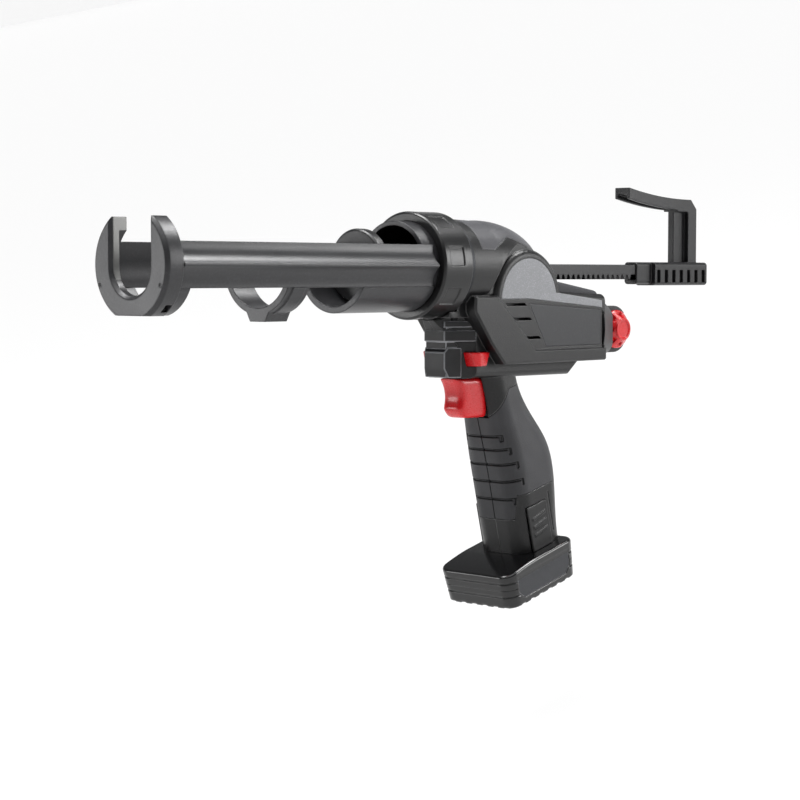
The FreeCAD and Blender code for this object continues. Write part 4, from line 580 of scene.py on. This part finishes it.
class CAULK_OT_collar(bpy.types.Operator):
    """Makes the turning collar glossy and eases its edges"""

    bl_idname = "caulk.collar"
    bl_label = "Collar"

    def execute(self, context):
        colours = context.scene.caulk_finish
        gloss = moulded("collar_gloss", tuple(colours.housing), 0.33, 1500.0, 0.00005, coat=0.1)
        softened("collar_nut", gloss, context.scene.caulk_shape.fine_edge)
        return {"FINISHED"}


class CAULK_OT_rack(bpy.types.Operator):
    """Blackens the toothed bar, its piston plate and the pull hook"""

    bl_idname = "caulk.rack"
    bl_label = "Rack and Hook"

    def execute(self, context):
        colours = context.scene.caulk_finish
        sizes = context.scene.caulk_shape
        steel = tuple(colours.bare_steel)
        black = painted("blackened_steel", tuple(colours.rack), steel, 0.34, 0.35)
        plastic = moulded("hook_plastic", tuple(colours.rack), 0.38, 1300.0, 0.0001)
        softened("rack_bar", black, sizes.fine_edge * 0.6, 2)
        softened("piston_plate", black, sizes.fine_edge)
        softened("pull_hook", plastic, sizes.fine_edge)
        finished(("piston_screw", "hook_pins"), bare_metal("turned_steel", steel, 0.3, TURNED))
        return {"FINISHED"}


class CAULK_OT_housing(bpy.types.Operator):
    """Dresses the two moulded halves and their screws"""

    bl_idname = "caulk.housing"
    bl_label = "Housing"

    def execute(self, context):
        colours = context.scene.caulk_finish
        width = context.scene.caulk_shape.fine_edge
        black = moulded("housing_black", tuple(colours.housing), 0.36, 1300.0, 0.0001, speckle=0.12)
        # The bevelled edges of the halves get a paler grey: a painted highlight along the edges.
        rubbed = moulded("housing_edge", tuple(colours.cover), 0.34, 1300.0, 0.0001, speckle=0.3)
        for side in SIDES:
            softened(side + "_housing", black, width, 2, HOUSING_EDGE_ANGLE, rubbed, clamped=True)
        screw = bare_metal("screw_steel", scaled(colours.bare_steel, 0.35), 0.32, UNBRUSHED)
        finished(("housing_screws",), screw)
        return {"FINISHED"}


class CAULK_OT_crown(bpy.types.Operator):
    """Models the low black crown along the motor, with the rack's channel between its halves"""

    bl_idname = "caulk.crown"
    bl_label = "Motor Crown"

    def execute(self, context):
        sizes = context.scene.caulk_shape
        front_x, outer_y, front_z = (value / 1000 for value in sizes.crown_front)
        rear_x, inner_y, rear_z = (value / 1000 for value in sizes.crown_rear)
        middle_x, middle_y = (front_x + rear_x) / 2, (outer_y + inner_y) / 2
        for side, sign in zip(SIDES, (1, -1)):
            bpy.ops.object.select_all(action="DESELECT")
            bpy.ops.mesh.primitive_cube_add(size=1.0)
            piece = bpy.context.active_object
            piece.name = side + "_motor_crown"
            bpy.ops.object.mode_set(mode="EDIT")
            bpy.ops.mesh.select_all(action="SELECT")
            bpy.ops.transform.resize(value=(front_x - rear_x, outer_y - inner_y, CROWN_DEPTH))
            bpy.ops.transform.translate(value=(middle_x, sign * middle_y, front_z - CROWN_DEPTH / 2))
            self.chosen(piece, lambda place: place.x < middle_x)
            bpy.ops.transform.translate(value=(0.0, 0.0, rear_z - front_z))
            bpy.ops.mesh.select_all(action="SELECT")
            bpy.ops.mesh.subdivide(number_cuts=1)
            self.chosen(piece, lambda place: abs(place.x - middle_x) < 0.001)
            bpy.ops.transform.translate(value=(0.0, 0.0, CROWN_RISE))
            self.chosen(
                piece, lambda place: place.z > rear_z - 0.002 and sign * place.y > inner_y + 0.001
            )
            inward, down = CROWN_LEAN
            bpy.ops.transform.translate(value=(0.0, -sign * inward, -down))
            bpy.ops.object.mode_set(mode="OBJECT")
            applied(piece, "BEVEL", width=CROWN_EDGE, segments=5, limit_method="ANGLE", profile=0.6)
            only(piece)
            bpy.ops.object.shade_smooth_by_angle(angle=CROWN_SHADE_ANGLE)
            piece.matrix_world = BARREL_TO_ROW
            bpy.ops.object.transform_apply(location=True, rotation=True, scale=True)
            coated(piece, bpy.data.materials["housing_black"])
            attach(piece, BODY_OF["left_housing"])
        return {"FINISHED"}

    @staticmethod
    def chosen(piece, wanted):
        """Leaves edit mode's selection on the corners that are wanted."""
        bpy.ops.mesh.select_all(action="DESELECT")
        bpy.ops.object.mode_set(mode="OBJECT")
        for corner in piece.data.vertices:
            corner.select = wanted(corner.co)
        bpy.ops.object.mode_set(mode="EDIT")


class CAULK_OT_panels(bpy.types.Operator):
    """Dresses the cover, the silver panels and the bare name panels"""

    bl_idname = "caulk.panels"
    bl_label = "Cover and Panels"

    def execute(self, context):
        colours = context.scene.caulk_finish
        sizes = context.scene.caulk_shape
        cover = moulded("cover_grey", tuple(colours.cover), 0.42, 1300.0, 0.00012, speckle=0.3)
        silver = moulded("panel_silver", tuple(colours.side_panel), 0.42, 1500.0, 0.0001, speckle=0.5)
        plate = moulded("name_panel_grey", tuple(colours.name_panel), 0.4, 1500.0, 0.00008, speckle=0.2)
        cap = moulded("end_cap_grey", tuple(colours.end_cap), 0.44, 1400.0, 0.0001, speckle=0.2)
        softened("top_cover", cover, sizes.fine_edge)
        for side in SIDES:
            softened(side + "_side_panel", silver, sizes.fine_edge)
            softened(side + "_name_panel", plate, sizes.fine_edge)
        softened("rear_end_cap", cap, sizes.fine_edge)
        return {"FINISHED"}


class CAULK_OT_controls(bpy.types.Operator):
    """Dresses the red trigger, lock button and speed dial"""

    bl_idname = "caulk.controls"
    bl_label = "Red Controls"

    def execute(self, context):
        colours = context.scene.caulk_finish
        sizes = context.scene.caulk_shape
        red = moulded(
            "control_red", tuple(colours.red), 0.28, 1500.0, 0.00001, edge_paling=0.05, coat=0.25, cloud=0.05
        )
        moulded_round("trigger", red, sizes.fine_edge, TRIGGER_PASSES, STEM_SPACE)
        softened("lock_button", red, sizes.soft_edge, 4)
        softened("speed_dial", red, sizes.fine_edge * 0.5, 2)
        return {"FINISHED"}


class CAULK_OT_grip(bpy.types.Operator):
    """Dresses the rubber of the grip and the ribbed bumper"""

    bl_idname = "caulk.grip"
    bl_label = "Grip and Bumper"

    def execute(self, context):
        colours = context.scene.caulk_finish
        sizes = context.scene.caulk_shape
        rubber = rubbered("grip_rubber", tuple(colours.rubber), 0.52, 1600.0, 0.00008)
        # The bevelled edges of the rubber, along its seams and grooves, are painted near black: painted
        # shade in the gaps.
        seam = rubbered("grip_seam", scaled(colours.rubber, 0.08), 0.85, 1600.0, 0.00008)
        for side in SIDES:
            softened(side + "_grip_rubber", rubber, sizes.fine_edge, 2, edge=seam)
        ribbed = rubbered("bumper_rubber", tuple(colours.bumper), 0.42, 1600.0, 0.00008)
        # The bumper's bevelled rib edges are painted pale silver: a painted highlight.
        rubbed = moulded("bumper_edge", tuple(colours.side_panel), 0.36, 900.0, 0.00008, cloud=0.5)
        softened("front_bumper", ribbed, sizes.fine_edge * 1.5, edge=rubbed)
        return {"FINISHED"}


class CAULK_OT_battery(bpy.types.Operator):
    """Dresses the battery case, its bare plates and its latches"""

    bl_idname = "caulk.battery"
    bl_label = "Battery"

    def execute(self, context):
        colours = context.scene.caulk_finish
        sizes = context.scene.caulk_shape
        case = moulded("battery_case", tuple(colours.battery), 0.2, 1400.0, 0.00001, coat=0.4)
        plate = moulded(
            "battery_plate", scaled(colours.name_panel, 1.8), 0.34, 1500.0, 0.00005, speckle=0.2
        )
        latch = moulded("latch_black", tuple(colours.housing), 0.42, 1400.0, 0.00004)
        # The bevelled edges round the battery plates are painted pale silver: a painted highlight.
        rubbed = moulded("plate_edge", tuple(colours.side_panel), 0.3, 900.0, 0.00002)
        for node in ("battery_base", "battery_top"):
            softened(node, case, sizes.fine_edge)
        for side in SIDES:
            softened(side + "_battery_plate", plate, sizes.fine_edge, edge=rubbed)
            softened(side + "_latch", latch, sizes.fine_edge)
        finished(("battery_stick",), latch)
        return {"FINISHED"}


class CAULK_OT_inside(bpy.types.Operator):
    """Finishes the parts that show only when the tool is opened or moved"""

    bl_idname = "caulk.inside"
    bl_label = "Inner Parts"

    def execute(self, context):
        colours = context.scene.caulk_finish
        steel = tuple(colours.bare_steel)
        alloy = bare_metal("cast_alloy", tone(62, 63, 65), 0.5, UNBRUSHED)
        finished(("gear_case", "reduction_gearbox"), alloy)
        finished(("motor",), bare_metal("motor_can", tone(165, 166, 168), 0.32, DRAWN))
        ground = bare_metal("ground_steel", steel, 0.24, GROUND)
        finished(("drive_pinion", "pinion_bearings"), ground)
        finished(("rack_guides",), bare_metal("bush_bronze", tone(176, 132, 74), 0.34, UNBRUSHED))
        brass = bare_metal("contact_brass", tone(201, 168, 98), 0.3, UNBRUSHED)
        finished(("battery_contacts",), brass)
        finished(("control_board",), moulded("board_green", tone(24, 88, 52), 0.4, 900.0, 0.00002))
        finished(
            ("dial_potentiometer", "switch_module", "terminal_block"),
            moulded("inner_black", tone(34, 34, 36), 0.5, 1200.0, 0.00004),
        )
        finished(("battery_cells",), moulded("cell_wrap", tone(38, 96, 150), 0.3, 700.0, 0.00001))
        return {"FINISHED"}


class CAULK_OT_studio(bpy.types.Operator):
    """Lays the pale floor, hangs the lamps and sets the camera"""

    bl_idname = "caulk.studio"
    bl_label = "Studio"

    def lamp(self, name, place, aim, size, power):
        """Hangs a round lamp that points at its aim."""
        bpy.ops.object.light_add(type="AREA", location=place)
        made = bpy.context.active_object
        made.name = name
        made.data.shape = "DISK"
        made.data.size = size
        made.data.energy = power
        made.rotation_euler = (Vector(aim) - Vector(place)).to_track_quat("-Z", "Y").to_euler()

    def execute(self, context):
        settings = context.scene.caulk_studio
        bpy.ops.object.select_all(action="DESELECT")
        bpy.ops.mesh.primitive_plane_add(size=SHEET_WIDTH, location=(0.0, 0.0, -settings.floor_drop))
        floor = bpy.context.active_object
        floor.name = "studio_floor"
        bpy.ops.object.mode_set(mode="EDIT")
        bpy.ops.mesh.select_mode(type="EDGE")
        bpy.ops.mesh.select_all(action="SELECT")
        bpy.ops.mesh.extrude_edges_move(TRANSFORM_OT_translate={"value": (0.0, 0.0, SHEET_UPTURN)})
        bpy.ops.mesh.select_mode(type="VERT")
        bpy.ops.object.mode_set(mode="OBJECT")
        paper = Finish("floor_paper")
        fibre = paper.noise(220.0, 3.0)
        pale = tuple(settings.floor)
        base = paper.mix(fibre, scaled(pale, 0.985), pale)
        seen = sum(
            paper.node("ShaderNodeLightPath", {}, {}, ray)
            for ray in ("Is Camera Ray", "Is Glossy Ray", "Is Transmission Ray")
        )
        glow = paper.node("ShaderNodeEmission", {}, {"Color": (1.0, 1.0, 1.0, 1.0), "Strength": 1.0})
        sheet = paper.node(
            "ShaderNodeBsdfPrincipled", {},
            {"Base Color": base, "Roughness": 0.9, "Specular IOR Level": 0.1},
        )
        lit = paper.node("ShaderNodeMixShader", {}, {0: seen * settings.floor_glow, 1: sheet, 2: glow})
        paper.node("ShaderNodeOutputMaterial", {}, {"Surface": lit})
        coated(floor, paper.material)

        bpy.ops.object.light_add(type="SUN", location=SKY_PLACE)
        sun = bpy.context.active_object
        sun.name = "sky_lamp"
        sun.data.energy = settings.sky_power
        sun.data.angle = SKY_SPREAD
        sun.rotation_euler = Vector(SKY_DIRECTION).to_track_quat("-Z", "Y").to_euler()
        for name, (place, aim, size) in LAMPS.items():
            self.lamp(name + "_lamp", place, aim, size, getattr(settings, name + "_power"))

        world = bpy.data.worlds.new("studio_air")
        world.use_nodes = True
        air = world.node_tree.nodes["Background"]
        air.inputs["Color"].default_value = AIR_COLOUR
        air.inputs["Strength"].default_value = settings.air_level
        context.scene.world = world
        context.scene.view_settings.view_transform = "Standard"

        turn, tilt = settings.camera_turn, settings.camera_tilt
        look = Vector((
            -math.cos(turn) * math.cos(tilt), -math.sin(turn) * math.cos(tilt), math.sin(tilt)
        ))
        right = look.cross(Vector((0.0, 0.0, 1.0))).normalized()
        up = right.cross(look)
        axes = Matrix((right, up, -look)).transposed()
        turned = BARREL_TO_ROW.to_3x3() @ axes
        bpy.ops.object.camera_add(location=row(*settings.camera_place))
        camera = bpy.context.active_object
        camera.name = "studio_camera"
        camera.rotation_euler = turned.to_euler()
        camera.data.sensor_fit = "HORIZONTAL"
        camera.data.sensor_width = SENSOR_WIDTH
        camera.data.lens = settings.lens
        camera.data.clip_start = 0.05
        context.scene.camera = camera
        return {"FINISHED"}


class CAULK_PT_tool(bpy.types.Panel):
    """Lists the tool's pieces and their settings"""

    bl_idname = "CAULK_PT_tool"
    bl_label = "Caulking Tool"
    bl_space_type = "VIEW_3D"
    bl_region_type = "UI"
    bl_category = "Caulking Tool"

    def draw(self, context):
        layout = self.layout
        for settings in SETTINGS:
            group = getattr(context.scene, settings)
            for key in group.__annotations__:
                layout.prop(group, key)
        for operator in OPERATORS:
            layout.operator(operator.bl_idname)


OPERATORS = (
    CAULK_OT_cradle,
    CAULK_OT_collar,
    CAULK_OT_rack,
    CAULK_OT_housing,
    CAULK_OT_crown,
    CAULK_OT_panels,
    CAULK_OT_controls,
    CAULK_OT_grip,
    CAULK_OT_battery,
    CAULK_OT_inside,
    CAULK_OT_studio,
)
SETTINGS = {
    "caulk_finish": FinishSettings,
    "caulk_shape": ShapeSettings,
    "caulk_studio": StudioSettings,
}


def register():
    for kind in (*SETTINGS.values(), *OPERATORS, CAULK_PT_tool):
        bpy.utils.register_class(kind)
    for key, kind in SETTINGS.items():
        setattr(bpy.types.Scene, key, bpy.props.PointerProperty(type=kind))


def unregister():
    for key in SETTINGS:
        delattr(bpy.types.Scene, key)
    for kind in reversed((*SETTINGS.values(), *OPERATORS, CAULK_PT_tool)):
        bpy.utils.unregister_class(kind)


def main():
    register()
    for operator in OPERATORS:
        group, name = operator.bl_idname.split(".")
        getattr(getattr(bpy.ops, group), name)()


if __name__ == "__main__":
    main()
